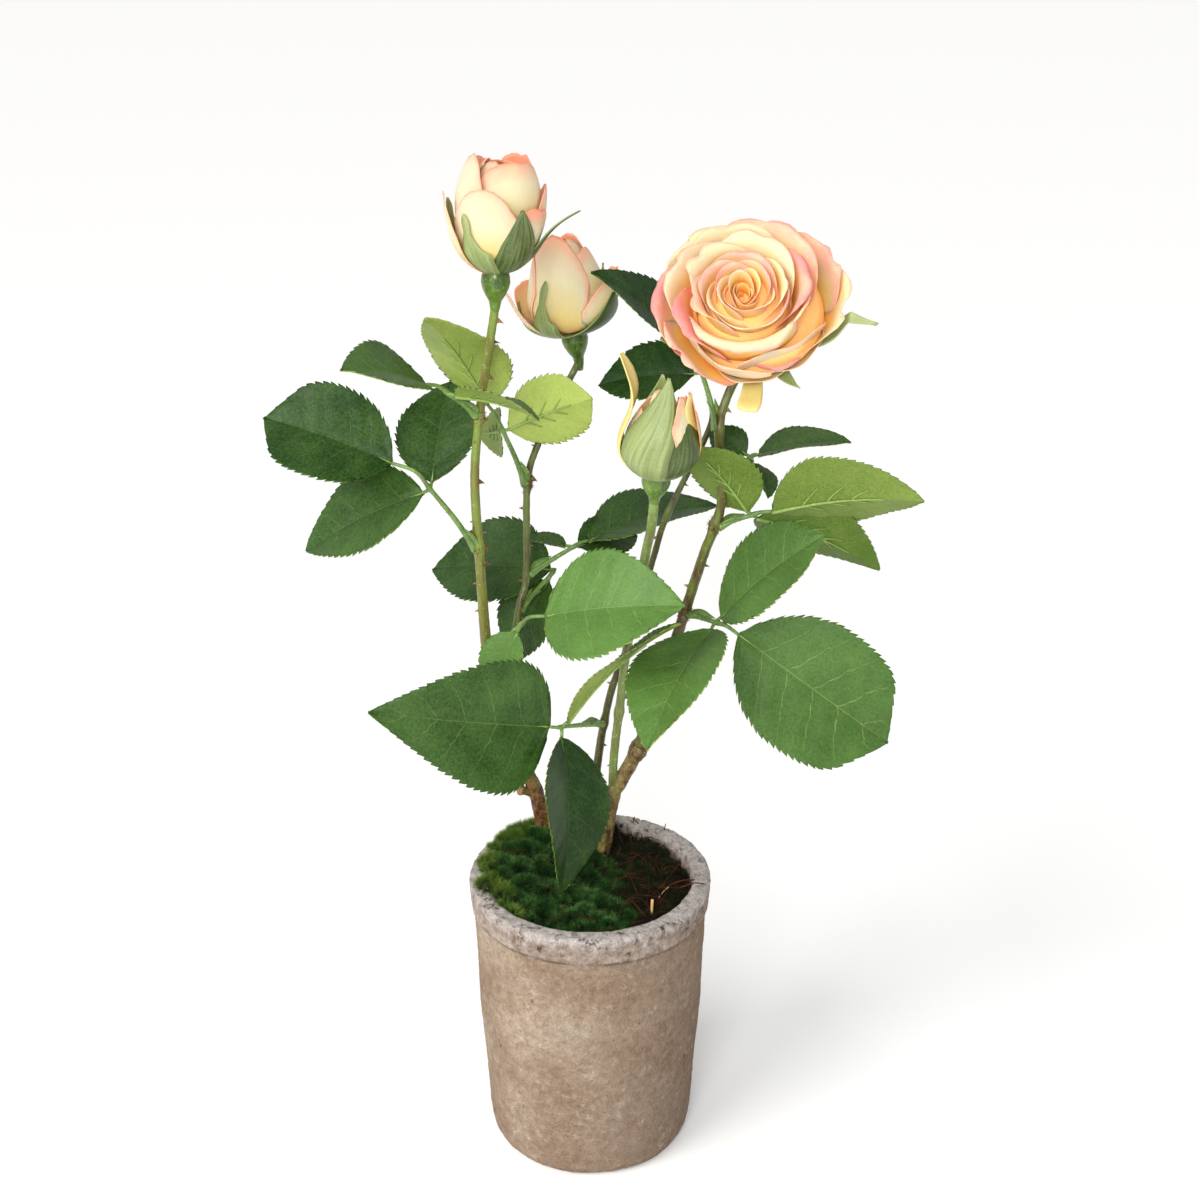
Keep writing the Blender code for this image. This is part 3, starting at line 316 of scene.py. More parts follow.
# Swollen nodes on each stem: the height of each and its swell, which makes it thicker and longer.
KNOTS = {
    "left": [(257, 1.0), (317, 1.3), (385, 1.0), (419, 0.4)],
    "left_back": [(292, 0.7), (338, 1.0)],
    "right": [(177, 0.8), (206, 2.2), (284, 0.9), (328, 1.3), (351, 0.6), (374, 0.8)],
    "middle": [(178, 0.7), (229, 0.9)],
    "right_back": [(218, 0.8), (286, 0.5), (330, 0.6)],
}
# Thorns: stem, height, heading and length.
THORNS = [
    ("left", 246, 200, 2.2), ("left", 268, -20, 2.4), ("left", 283, 190, 2.2), ("left", 298, 175, 2.6),
    ("left", 309, -15, 3.6), ("left", 325, 10, 2.6), ("left", 331, 165, 2.0), ("left", 352, 5, 3.0),
    ("left", 383, 15, 2.4), ("left", 393, 170, 1.8), ("left", 404, -10, 3.0), ("left", 420, 15, 3.2),
    ("left", 430, 0, 3.4), ("left", 289, 85, 2.4), ("left", 341, 95, 2.4), ("left", 373, 250, 1.8),
    ("left_back", 252, 190, 2.2), ("left_back", 272, 0, 2.2), ("left_back", 289, 175, 2.4),
    ("left_back", 307, 10, 2.2), ("left_back", 326, 185, 2.6), ("left_back", 341, -5, 3.4),
    ("left_back", 356, 170, 2.0), ("left_back", 366, 185, 3.0), ("left_back", 379, 80, 2.4),
    ("right", 190, 170, 2.0), ("right", 222, 0, 2.4), ("right", 243, 175, 2.2), ("right", 262, 10, 2.6),
    ("right", 297, 175, 2.6), ("right", 309, 5, 2.8), ("right", 338, 0, 2.4), ("right", 362, 180, 2.6),
    ("right", 384, -5, 2.8), ("right", 396, 175, 2.4), ("right", 231, 90, 2.4), ("right", 320, 95, 2.4),
    ("middle", 196, 180, 1.8), ("middle", 246, 0, 2.0), ("middle", 262, 180, 1.8), ("middle", 283, 10, 2.0),
    ("middle", 310, 185, 2.2), ("middle", 332, 5, 1.6),
    ("right_back", 178, 180, 2.0), ("right_back", 205, 5, 2.0), ("right_back", 240, 175, 2.2),
    ("right_back", 262, 0, 2.4), ("right_back", 300, 10, 2.6), ("right_back", 318, 180, 2.2),
    ("right_back", 345, 0, 2.4), ("right_back", 362, 190, 2.0),
]


# --- colours and materials ---------------------------------------------------------------------------
def colour(code):
    """An sRGB hex colour as linear red, green, blue and alpha."""
    channels = [int(code[i:i + 2], 16) / 255 for i in (1, 3, 5)]
    return tuple(c / 12.92 if c <= 0.04045 else ((c + 0.055) / 1.055) ** 2.4 for c in channels) + (1.0,)


def add(tree, kind, inputs=None, output=0, stops=None, **settings):
    """Add a node to a tree and return one of its outputs.

    settings are the node's own properties. inputs maps socket names or numbers to values, or to the
    outputs that feed them. stops are the places and colours of a colour ramp.
    """
    made = tree.nodes.new(kind)
    for key, value in settings.items():
        setattr(made, key, value)
    for key, value in (inputs or {}).items():
        if isinstance(value, bpy.types.NodeSocket):
            tree.links.new(value, made.inputs[key])
        else:
            made.inputs[key].default_value = value
    if stops:
        while len(made.color_ramp.elements) < len(stops):
            made.color_ramp.elements.new(0.5)
        for element, (place, shade) in zip(made.color_ramp.elements, stops):
            element.position = place
            element.color = colour(shade)
    return made.outputs[output] if len(made.outputs) else made


def new_material(name):
    """An empty node material and its tree."""
    material = bpy.data.materials.new(name)
    material.use_nodes = True
    material.node_tree.nodes.clear()
    return material, material.node_tree


def close_material(tree, shader):
    """Send a shader to the surface."""
    add(tree, "ShaderNodeOutputMaterial", {"Surface": shader})


def per(size):
    """The scale of a pattern whose features are this many millimetres across.

    Rounding a size would move its pattern, and the tones are set for it where it lies.
    """
    return 1 / (size * MM)


def weathered_clay():
    """Low-fired clay, limewashed and left outdoors: chalky, sandy, with crusts of lime and dark pits.

    It is painted darker and browner towards +X and towards its foot. This is painted shade, for the side
    turned away from the key light and for the pot's lower part. Its sand is finer than the 1 mm that it is
    drawn at, so that it shows.
    """
    material, tree = new_material("weathered_limewashed_clay")
    rim = POT_HEIGHT * MM
    band_foot = rim - BAND_HEIGHT * MM
    place = add(tree, "ShaderNodeTexCoord", output="Object")
    height = add(tree, "ShaderNodeSeparateXYZ", {0: place}, output=2)
    across = add(tree, "ShaderNodeSeparateXYZ", {0: place}, output=0)
    clouds = add(tree, "ShaderNodeTexNoise", {
        "Vector": place, "Scale": per(45.4545), "Detail": 9, "Roughness": 0.66})
    blotches = add(tree, "ShaderNodeTexNoise", {
        "Vector": place, "Scale": per(13.3333), "Detail": 6, "Roughness": 0.7})
    lumps = add(tree, "ShaderNodeTexNoise", {
        "Vector": place, "Scale": per(4.16667), "Detail": 6, "Roughness": 0.68})
    sand = add(tree, "ShaderNodeTexNoise", {
        "Vector": place, "Scale": per(1.05263), "Detail": 3, "Roughness": 0.7})
    body = add(tree, "ShaderNodeValToRGB", {0: clouds}, stops=[
        (0.30, "#9a7f68"), (0.45, "#b39a83"), (0.58, "#c6af98"), (0.74, "#d4c3b2")])
    # Painted shade: the clay turns darker brown towards +X, away from the key light, and towards the foot.
    painted_shade = add(tree, "ShaderNodeMapRange", {0: across, 1: -0.034, 2: 0.062, 3: 0.0, 4: 0.90})
    low = add(tree, "ShaderNodeMapRange", {0: height, 1: 0.115, 2: 0.0, 3: 0.0, 4: 0.30})
    painted_shade = add(tree, "ShaderNodeMath", {0: painted_shade, 1: low}, operation="ADD")
    painted_shade = add(tree, "ShaderNodeMath", {0: clouds, 1: painted_shade}, operation="MULTIPLY")
    body = add(tree, "ShaderNodeMix", {0: painted_shade, 6: body, 7: colour("#5e442f")}, output=2, data_type="RGBA")
    lime = add(tree, "ShaderNodeTexNoise", {
        "Vector": place, "Scale": per(8.33333), "Detail": 8, "Roughness": 0.78})
    wander = add(tree, "ShaderNodeMath", {0: lime, 1: 0.016}, operation="MULTIPLY")
    level = add(tree, "ShaderNodeMath", {0: height, 1: wander}, operation="ADD")
    crust = add(tree, "ShaderNodeValToRGB", {0: lime}, stops=[
        (0.38, "#8c7d73"), (0.46, "#b0a199"), (0.56, "#c5b9b3"), (0.68, "#e3dcd9")])
    band = add(tree, "ShaderNodeMapRange", {0: level, 1: rim - 0.0083, 2: rim - 0.0053, 3: 0.0, 4: 0.45})
    body = add(tree, "ShaderNodeMix", {0: band, 6: body, 7: crust}, output=2, data_type="RGBA")
    lip = add(tree, "ShaderNodeMapRange", {0: level, 1: rim + 0.0017, 2: rim + 0.0067, 3: 0.0, 4: 0.66})
    body = add(tree, "ShaderNodeMix", {0: lip, 6: body, 7: colour("#ddd6d3")}, output=2, data_type="RGBA")
    flecks = add(tree, "ShaderNodeMapRange", {0: lime, 1: 0.59, 2: 0.66, 3: 0.0, 4: 0.36})
    body = add(tree, "ShaderNodeMix", {0: flecks, 6: body, 7: colour("#d6cbc3")}, output=2, data_type="RGBA")
    stir = add(tree, "ShaderNodeTexNoise", {
        "Vector": place, "Scale": per(9.09091), "Detail": 5, "Roughness": 0.7}, output=1)
    bent = add(tree, "ShaderNodeMix", {0: 0.022, 6: place, 7: stir}, output=2, data_type="RGBA",
               blend_type="ADD")
    crack = add(tree, "ShaderNodeTexVoronoi", {"Vector": bent, "Scale": per(16.129)},
                feature="DISTANCE_TO_EDGE")
    crack = add(tree, "ShaderNodeMapRange", {0: crack, 1: 0.004, 2: 0.030, 3: 1.0, 4: 0.0})
    up = add(tree, "ShaderNodeMapRange", {0: height, 1: band_foot, 2: band_foot + 0.008, 3: 0.0, 4: 1.0})
    worn = add(tree, "ShaderNodeMapRange", {0: blotches, 1: 0.50, 2: 0.58, 3: 0.0, 4: 0.85})
    crack = add(tree, "ShaderNodeMath", {0: crack, 1: up}, operation="MULTIPLY")
    crack = add(tree, "ShaderNodeMath", {0: crack, 1: worn}, operation="MULTIPLY")
    pits = add(tree, "ShaderNodeMapRange", {0: lime, 1: 0.40, 2: 0.34, 3: 0.0, 4: 0.9})
    pits = add(tree, "ShaderNodeMath", {0: pits, 1: up}, operation="MULTIPLY")
    crack = add(tree, "ShaderNodeMath", {0: crack, 1: pits}, operation="MAXIMUM")
    holes = add(tree, "ShaderNodeTexVoronoi", {"Vector": bent, "Scale": per(8.33333), "Randomness": 1.0})
    dark_marks_and_band_shadow = add(tree, "ShaderNodeMapRange", {0: holes, 1: 0.07, 2: 0.15, 3: 1.0, 4: 0.0})
    sparse = add(tree, "ShaderNodeMapRange", {0: blotches, 1: 0.54, 2: 0.60, 3: 0.0, 4: 0.8})
    dark_marks_and_band_shadow = add(tree, "ShaderNodeMath", {0: dark_marks_and_band_shadow, 1: sparse}, operation="MULTIPLY")
    dark_marks_and_band_shadow = add(tree, "ShaderNodeMath", {0: dark_marks_and_band_shadow, 1: crack}, operation="MAXIMUM")
    # A dark line just under the band's step: painted shadow of the band, with some stain.
    foot = add(tree, "ShaderNodeMapRange", {
        0: height, 1: band_foot - 0.0015, 2: band_foot - 0.0003, 3: 0.0, 4: 0.7})
    past = add(tree, "ShaderNodeMapRange", {0: height, 1: band_foot, 2: band_foot + 0.0012, 3: 1.0, 4: 0.0})
    foot = add(tree, "ShaderNodeMath", {0: foot, 1: past}, operation="MULTIPLY")
    broken = add(tree, "ShaderNodeMapRange", {0: blotches, 1: 0.40, 2: 0.55})
    foot = add(tree, "ShaderNodeMath", {0: foot, 1: broken}, operation="MULTIPLY")
    dark_marks_and_band_shadow = add(tree, "ShaderNodeMath", {0: dark_marks_and_band_shadow, 1: foot}, operation="MAXIMUM")
    body = add(tree, "ShaderNodeMix", {0: dark_marks_and_band_shadow, 6: body, 7: colour("#45382f")}, output=2, data_type="RGBA")
    # Painted light and shade of the relief, over the sand's own tone: the clay is lighter where its lumps and
    # sand stand up and darker where they sink.
    shade = add(tree, "ShaderNodeMapRange", {0: lumps, 1: 0.34, 2: 0.64, 3: 0.74, 4: 1.13})
    grain = add(tree, "ShaderNodeMapRange", {0: sand, 1: 0.3, 2: 0.7, 3: 0.78, 4: 1.18})
    grain = add(tree, "ShaderNodeMath", {0: grain, 1: shade}, operation="MULTIPLY")
    body = add(tree, "ShaderNodeVectorMath", {0: body, "Scale": grain}, operation="SCALE")
    relief = add(tree, "ShaderNodeMath", {0: lumps, 1: 1.5}, operation="MULTIPLY")
    relief = add(tree, "ShaderNodeMath", {0: lime, 1: 1.2, 2: relief}, operation="MULTIPLY_ADD")
    relief = add(tree, "ShaderNodeMath", {0: sand, 1: 0.40, 2: relief}, operation="MULTIPLY_ADD")
    relief = add(tree, "ShaderNodeMath", {0: dark_marks_and_band_shadow, 1: -0.8, 2: relief}, operation="MULTIPLY_ADD")
    bump = add(tree, "ShaderNodeBump", {"Strength": 0.95, "Distance": 2.4 * MM, "Height": relief})
    close_material(tree, add(tree, "ShaderNodeBsdfPrincipled", {
        "Base Color": body, "Roughness": 0.92, "Specular IOR Level": 0.22, "Normal": bump}))
    return material


def moulded_cane(name, green, flank, fleck, roughness):
    """Polythene moulded over wire and brush-painted: soft highlights, long streaks and a browner flank."""
    material, tree = new_material(name)
    place = add(tree, "ShaderNodeTexCoord", output="Object")
    long = add(tree, "ShaderNodeMapping", {"Vector": place, "Scale": (1.0, 1.0, 0.10)})
    streaks = add(tree, "ShaderNodeTexNoise", {
        "Vector": long, "Scale": per(2.38095), "Detail": 4, "Roughness": 0.6})
    patches = add(tree, "ShaderNodeTexNoise", {"Vector": place, "Scale": per(18.1818), "Detail": 4})
    specks = add(tree, "ShaderNodeTexNoise", {"Vector": place, "Scale": per(1.53846), "Detail": 2})
    share = add(tree, "ShaderNodeMath", {0: streaks, 1: patches}, operation="ADD")
    share = add(tree, "ShaderNodeMapRange", {0: share, 1: 0.85, 2: 1.15})
    paint = add(tree, "ShaderNodeMix", {0: share, 6: colour(green), 7: colour(flank)}, output=2,
                data_type="RGBA")
    spot = add(tree, "ShaderNodeMapRange", {0: specks, 1: 0.62, 2: 0.72, 3: 0.0, 4: 0.7})
    paint = add(tree, "ShaderNodeMix", {0: spot, 6: paint, 7: colour(fleck)}, output=2, data_type="RGBA")
    bump = add(tree, "ShaderNodeBump", {"Strength": 0.35, "Distance": 0.5 * MM, "Height": streaks})
    close_material(tree, add(tree, "ShaderNodeBsdfPrincipled", {
        "Base Color": paint, "Roughness": roughness, "Specular IOR Level": 0.5, "Normal": bump}))
    return material


def painted_bark(name, dark, middle, light, moss):
    """Resin cast from a real branch and painted: brown over tan, dark in the cracks, dabbed with olive."""
    material, tree = new_material(name)
    place = add(tree, "ShaderNodeTexCoord", output="Object")
    long = add(tree, "ShaderNodeMapping", {"Vector": place, "Scale": (1.0, 1.0, 0.22)})
    ridges = add(tree, "ShaderNodeTexNoise", {
        "Vector": long, "Scale": per(3.0303), "Detail": 6, "Roughness": 0.7})
    patches = add(tree, "ShaderNodeTexNoise", {
        "Vector": place, "Scale": per(10.5263), "Detail": 5, "Roughness": 0.65})
    specks = add(tree, "ShaderNodeTexNoise", {
        "Vector": place, "Scale": per(1.42857), "Detail": 3, "Roughness": 0.7})
    share = add(tree, "ShaderNodeMath", {0: patches, 1: 0.8, 2: ridges}, operation="MULTIPLY_ADD")
    share = add(tree, "ShaderNodeMapRange", {0: share, 1: 0.68, 2: 1.12})
    paint = add(tree, "ShaderNodeValToRGB", {0: share}, stops=[(0.15, dark), (0.5, middle), (0.85, light)])
    dabs = add(tree, "ShaderNodeMapRange", {0: patches, 1: 0.52, 2: 0.62, 3: 0.0, 4: 0.65})
    paint = add(tree, "ShaderNodeMix", {0: dabs, 6: paint, 7: colour(moss)}, output=2, data_type="RGBA")
    spot = add(tree, "ShaderNodeMapRange", {0: specks, 1: 0.60, 2: 0.68, 3: 0.0, 4: 0.55})
    paint = add(tree, "ShaderNodeMix", {0: spot, 6: paint, 7: colour("#c4b07c")}, output=2, data_type="RGBA")
    pit = add(tree, "ShaderNodeMapRange", {0: specks, 1: 0.36, 2: 0.42, 3: 0.7, 4: 0.0})
    paint = add(tree, "ShaderNodeMix", {0: pit, 6: paint, 7: colour(dark)}, output=2, data_type="RGBA")
    bump = add(tree, "ShaderNodeBump", {"Strength": 0.7, "Distance": 0.8 * MM, "Height": ridges})
    close_material(tree, add(tree, "ShaderNodeBsdfPrincipled", {
        "Base Color": paint, "Roughness": 0.46, "Specular IOR Level": 0.5, "Normal": bump}))
    return material


def printed_leaf(name, dark, light, vein, roughness, strength, relief):
    """Polyester cloth, dip-dyed and printed with fine veins, then starched: speckled and nearly matt.

    The speckle stands for the weave, whose threads are too fine to show.
    """
    material, tree = new_material(name)
    sheet = add(tree, "ShaderNodeUVMap", uv_map="sheet")
    place = add(tree, "ShaderNodeTexCoord", output="Object")
    across = add(tree, "ShaderNodeSeparateXYZ", {0: sheet}, output=0)
    along = add(tree, "ShaderNodeSeparateXYZ", {0: sheet}, output=1)
    tint = add(tree, "ShaderNodeAttribute", output="Fac", attribute_name="tint")
    side = add(tree, "ShaderNodeMath", {0: across, 1: 2.0, 2: -1.0}, operation="MULTIPLY_ADD")
    side = add(tree, "ShaderNodeMath", {0: side}, operation="ABSOLUTE")
    wobble = add(tree, "ShaderNodeTexNoise", {
        "Vector": place, "Scale": per(13.3333), "Detail": 3, "Roughness": 0.6})
    sweep = add(tree, "ShaderNodeMath", {0: side, 1: 1.25}, operation="POWER")
    sweep = add(tree, "ShaderNodeMath", {0: sweep, 1: -VEIN_SWEEP, 2: along}, operation="MULTIPLY_ADD")
    sweep = add(tree, "ShaderNodeMath", {0: wobble, 1: 0.045, 2: sweep}, operation="MULTIPLY_ADD")
    rank = add(tree, "ShaderNodeMath", {0: sweep, 1: VEIN_PAIRS}, operation="MULTIPLY")
    rank = add(tree, "ShaderNodeMath", {0: rank, 1: 0.5}, operation="PINGPONG")
    ribs = add(tree, "ShaderNodeMapRange", {0: rank, 1: 0.004, 2: 0.022, 3: 1.0, 4: 0.0})
    fade = add(tree, "ShaderNodeMapRange", {0: side, 1: 0.35, 2: 0.90, 3: 0.8, 4: 0.1})
    ribs = add(tree, "ShaderNodeMath", {0: ribs, 1: fade}, operation="MULTIPLY")
    midrib = add(tree, "ShaderNodeMapRange", {0: side, 1: 0.006, 2: 0.022, 3: 1.0, 4: 0.0})
    lines = add(tree, "ShaderNodeMath", {0: ribs, 1: midrib}, operation="MAXIMUM")
    net = add(tree, "ShaderNodeTexVoronoi", {"Vector": place, "Scale": per(3.0303)},
               feature="DISTANCE_TO_EDGE")
    net = add(tree, "ShaderNodeMapRange", {0: net, 1: 0.01, 2: 0.06, 3: 1.0, 4: 0.0})
    clouds = add(tree, "ShaderNodeTexNoise", {
        "Vector": place, "Scale": per(22.2222), "Detail": 4, "Roughness": 0.6})
    speckle = add(tree, "ShaderNodeTexNoise", {
        "Vector": place, "Scale": per(1.25), "Detail": 3, "Roughness": 0.7})
    share = add(tree, "ShaderNodeMath", {0: clouds, 1: 0.50, 2: -0.25}, operation="MULTIPLY_ADD")
    share = add(tree, "ShaderNodeMath", {0: share, 1: tint}, operation="ADD")
    share = add(tree, "ShaderNodeMath", {0: speckle, 1: 0.6, 2: share}, operation="MULTIPLY_ADD")
    share = add(tree, "ShaderNodeMath", {0: share, 1: -0.20}, operation="ADD", use_clamp=True)
    dye = add(tree, "ShaderNodeMix", {0: share, 6: colour(dark), 7: colour(light)}, output=2,
              data_type="RGBA")
    faint = add(tree, "ShaderNodeMath", {0: net, 1: 0.07 * strength}, operation="MULTIPLY")
    dye = add(tree, "ShaderNodeMix", {0: faint, 6: dye, 7: colour(vein)}, output=2, data_type="RGBA")
    shown = add(tree, "ShaderNodeMapRange", {0: tint, 1: -0.05, 2: 0.30, 3: 0.30 * strength, 4: strength})
    strong = add(tree, "ShaderNodeMath", {0: lines, 1: shown}, operation="MULTIPLY")
    dye = add(tree, "ShaderNodeMix", {0: strong, 6: dye, 7: colour(vein)}, output=2, data_type="RGBA")
    depth = add(tree, "ShaderNodeMath", {0: lines, 1: relief}, operation="MULTIPLY")
    depth = add(tree, "ShaderNodeMath", {0: net, 1: relief * 0.15, 2: depth}, operation="MULTIPLY_ADD")
    depth = add(tree, "ShaderNodeMath", {0: speckle, 1: 0.5, 2: depth}, operation="MULTIPLY_ADD")
    bump = add(tree, "ShaderNodeBump", {"Strength": 0.5, "Distance": 0.4 * MM, "Height": depth})
    close_material(tree, add(tree, "ShaderNodeBsdfPrincipled", {
        "Base Color": dye, "Roughness": roughness, "Specular IOR Level": 0.19, "Normal": bump}))
    return material


# The usual width and length in mm of a petal and of a sepal; the sheet runs from 0 to 1 over each.
PETAL_SHEET = (48.0, 56.0)
SEPAL_SHEET = (14.0, 32.0)


def dyed_petal(name, stops, blush, blush_width, rim_tone, rim_strength):
    """Polyester satin, cut, dip-dyed from its foot and airbrushed pink at its edge.

    It is soft and a little translucent, so its gaps glow, and threads run from foot to lip. They are drawn
    0.8 mm apart, because real ones are too fine to show.
    """
    material, tree = new_material(name)
    sheet = add(tree, "ShaderNodeUVMap", uv_map="sheet")
    across = add(tree, "ShaderNodeSeparateXYZ", {0: sheet}, output=0)
    along = add(tree, "ShaderNodeSeparateXYZ", {0: sheet}, output=1)
    tint = add(tree, "ShaderNodeAttribute", output="Fac", attribute_name="tint")
    pink = add(tree, "ShaderNodeAttribute", output="Fac", attribute_name="blush")
    place = add(tree, "ShaderNodeTexCoord", output="Object")
    clouds = add(tree, "ShaderNodeTexNoise", {
        "Vector": place, "Scale": per(14.2857), "Detail": 4, "Roughness": 0.6})
    long = add(tree, "ShaderNodeMapping", {
        "Vector": sheet, "Scale": (PETAL_SHEET[0] / 0.8, PETAL_SHEET[1] / 14.0, 1.0)})
    streaks = add(tree, "ShaderNodeTexNoise", {"Vector": long, "Scale": 1.0, "Detail": 4, "Roughness": 0.7})
    share = add(tree, "ShaderNodeMath", {0: clouds, 1: 0.26, 2: -0.13}, operation="MULTIPLY_ADD")
    share = add(tree, "ShaderNodeMath", {0: share, 1: along}, operation="ADD")
    share = add(tree, "ShaderNodeMath", {0: streaks, 1: 0.14, 2: share}, operation="MULTIPLY_ADD")
    share = add(tree, "ShaderNodeMath", {0: share, 1: -0.07}, operation="ADD")
    share = add(tree, "ShaderNodeMath", {0: share, 1: tint}, operation="SUBTRACT", use_clamp=True)
    dye = add(tree, "ShaderNodeValToRGB", {0: share}, stops=stops)
    side = add(tree, "ShaderNodeMath", {0: across, 1: 2.0, 2: -1.0}, operation="MULTIPLY_ADD")
    side = add(tree, "ShaderNodeMath", {0: side}, operation="ABSOLUTE")
    near = add(tree, "ShaderNodeMath", {0: pink, 1: -blush_width, 2: 0.965}, operation="MULTIPLY_ADD")
    flank = add(tree, "ShaderNodeMapRange", {0: side, 1: near, 2: 1.0})
    crown = add(tree, "ShaderNodeMapRange", {0: along, 1: near, 2: 1.0})
    edge = add(tree, "ShaderNodeMath", {0: flank, 1: crown}, operation="MAXIMUM")
    edge = add(tree, "ShaderNodeMath", {0: edge, 1: 0.75}, operation="POWER")
    uneven = add(tree, "ShaderNodeMapRange", {0: clouds, 1: 0.35, 2: 0.60, 3: 0.45, 4: 1.10})
    edge = add(tree, "ShaderNodeMath", {0: edge, 1: uneven}, operation="MULTIPLY")
    edge = add(tree, "ShaderNodeMath", {0: edge, 1: pink}, operation="MULTIPLY", use_clamp=True)
    dye = add(tree, "ShaderNodeMix", {0: edge, 6: dye, 7: colour(blush)}, output=2, data_type="RGBA")
    last = add(tree, "ShaderNodeMath", {0: side, 1: along}, operation="MAXIMUM")
    rim = add(tree, "ShaderNodeMapRange", {0: last, 1: 0.970, 2: 0.995, 3: 0.0, 4: rim_strength})
    rim = add(tree, "ShaderNodeMath", {0: rim, 1: uneven}, operation="MULTIPLY")
    dye = add(tree, "ShaderNodeMix", {0: rim, 6: dye, 7: colour(rim_tone)}, output=2, data_type="RGBA")
    bump = add(tree, "ShaderNodeBump", {"Strength": 0.18, "Distance": 0.6 * MM, "Height": streaks})
    close_material(tree, add(tree, "ShaderNodeBsdfPrincipled", {
        "Base Color": dye, "Roughness": 0.62, "Specular IOR Level": 0.25, "Sheen Weight": 0.06,
        "Subsurface Weight": 0.8, "Subsurface Radius": (1.0, 0.60, 0.25), "Subsurface Scale": 1.1 * MM,
        "Normal": bump}))
    return material


def dyed_wadding():
    """Cotton wadding dyed with the petals: matt, downy and warm yellow."""
    material, tree = new_material("dyed_cotton_wadding")
    place = add(tree, "ShaderNodeTexCoord", output="Object")
    fluff = add(tree, "ShaderNodeTexNoise", {
        "Vector": place, "Scale": per(1.42857), "Detail": 4, "Roughness": 0.7})
    dye = add(tree, "ShaderNodeMix", {0: fluff, 6: colour("#ffb765"), 7: colour("#ffd792")}, output=2,
              data_type="RGBA")
    bump = add(tree, "ShaderNodeBump", {"Strength": 0.4, "Distance": 0.5 * MM, "Height": fluff})
    close_material(tree, add(tree, "ShaderNodeBsdfPrincipled", {
        "Base Color": dye, "Roughness": 0.95, "Specular IOR Level": 0.1, "Normal": bump}))
    return material


def painted_sepal(name, green, pale, roughness):
    """Stiff cloth painted green, with the paint drawn out in long streaks."""
    material, tree = new_material(name)
    sheet = add(tree, "ShaderNodeUVMap", uv_map="sheet")
    place = add(tree, "ShaderNodeTexCoord", output="Object")
    tint = add(tree, "ShaderNodeAttribute", output="Fac", attribute_name="tint")
    long = add(tree, "ShaderNodeMapping", {
        "Vector": sheet, "Scale": (SEPAL_SHEET[0] / 1.0, SEPAL_SHEET[1] / 20.0, 1.0)})
    streaks = add(tree, "ShaderNodeTexNoise", {"Vector": long, "Scale": 1.0, "Detail": 5, "Roughness": 0.6})
    grain = add(tree, "ShaderNodeTexNoise", {"Vector": place, "Scale": per(1.11111), "Detail": 3})
    share = add(tree, "ShaderNodeMath", {0: streaks, 1: 1.3, 2: -0.65}, operation="MULTIPLY_ADD")
    share = add(tree, "ShaderNodeMath", {0: share, 1: tint}, operation="ADD")
    share = add(tree, "ShaderNodeMath", {0: grain, 1: 0.25, 2: share}, operation="MULTIPLY_ADD",
                use_clamp=True)
    paint = add(tree, "ShaderNodeMix", {0: share, 6: colour(green), 7: colour(pale)}, output=2,
                data_type="RGBA")
    bump = add(tree, "ShaderNodeBump", {"Strength": 0.35, "Distance": 0.5 * MM, "Height": streaks})
    close_material(tree, add(tree, "ShaderNodeBsdfPrincipled", {
        "Base Color": paint, "Roughness": roughness, "Specular IOR Level": 0.5, "Normal": bump}))
    return material


def dyed_moss(name, dark, light, tip=None):
    """Dried moss or root, dyed: dull, and darker in one tuft than in the next.

    With a tip colour it also runs from dark at the needles' feet to that colour at their points.
    """
    material, tree = new_material(name)
    place = add(tree, "ShaderNodeTexCoord", output="Object")
    clumps = add(tree, "ShaderNodeTexNoise", {
        "Vector": place, "Scale": per(9.09091), "Detail": 4, "Roughness": 0.7})
    share = add(tree, "ShaderNodeMapRange", {0: clumps, 1: 0.36, 2: 0.66})
    if tip:
        tint = add(tree, "ShaderNodeAttribute", output="Fac", attribute_name="tint")
        share = add(tree, "ShaderNodeMath", {0: share, 1: 0.45}, operation="MULTIPLY")
        share = add(tree, "ShaderNodeMath", {0: tint, 1: 0.62, 2: share}, operation="MULTIPLY_ADD")
        share = add(tree, "ShaderNodeMath", {0: share, 1: -0.08}, operation="ADD", use_clamp=True)
        dye = add(tree, "ShaderNodeValToRGB", {0: share}, stops=[(0.0, dark), (0.55, light), (1.0, tip)])
    else:
        dye = add(tree, "ShaderNodeMix", {0: share, 6: colour(dark), 7: colour(light)}, output=2,
                  data_type="RGBA")
    close_material(tree, add(tree, "ShaderNodeBsdfPrincipled", {
        "Base Color": dye, "Roughness": 0.85, "Specular IOR Level": 0.2}))
    return material


CLAY = weathered_clay()
BARK_BROWN = painted_bark("painted_bark_brown", "#2f1a0e", "#6b4223", "#8f6a38", "#7d7433")
BARK_TAN = painted_bark("painted_bark_tan", "#4a3016", "#776338", "#9c8a50", "#6c7334")
CANE_LEFT = moulded_cane("moulded_cane_yellow_green", "#728533", "#6c6428", "#a2a35a", 0.34)
CANE_LEFT_BACK = moulded_cane("moulded_cane_olive", "#5b6a2e", "#4d4020", "#8f8f5e", 0.34)
CANE_RIGHT = moulded_cane("moulded_cane_brown_green", "#5f6a26", "#4a3414", "#8f8d4a", 0.34)
CANE_MIDDLE = moulded_cane("moulded_cane_light_green", "#748c48", "#6a7038", "#b8c691", 0.34)
CANE_RIGHT_BACK = moulded_cane("moulded_cane_dark_olive", "#4f5a20", "#3a2c12", "#7f7f44", 0.36)
RIB = moulded_cane("moulded_leaf_rib", "#869f4e", "#74903f", "#a9b970", 0.50)
STALK = moulded_cane("moulded_leaf_stalk", "#6d8f44", "#566f33", "#a9b970", 0.42)
THORN = moulded_cane("moulded_thorn", "#8a6d3c", "#5b4026", "#b7a26c", 0.5)
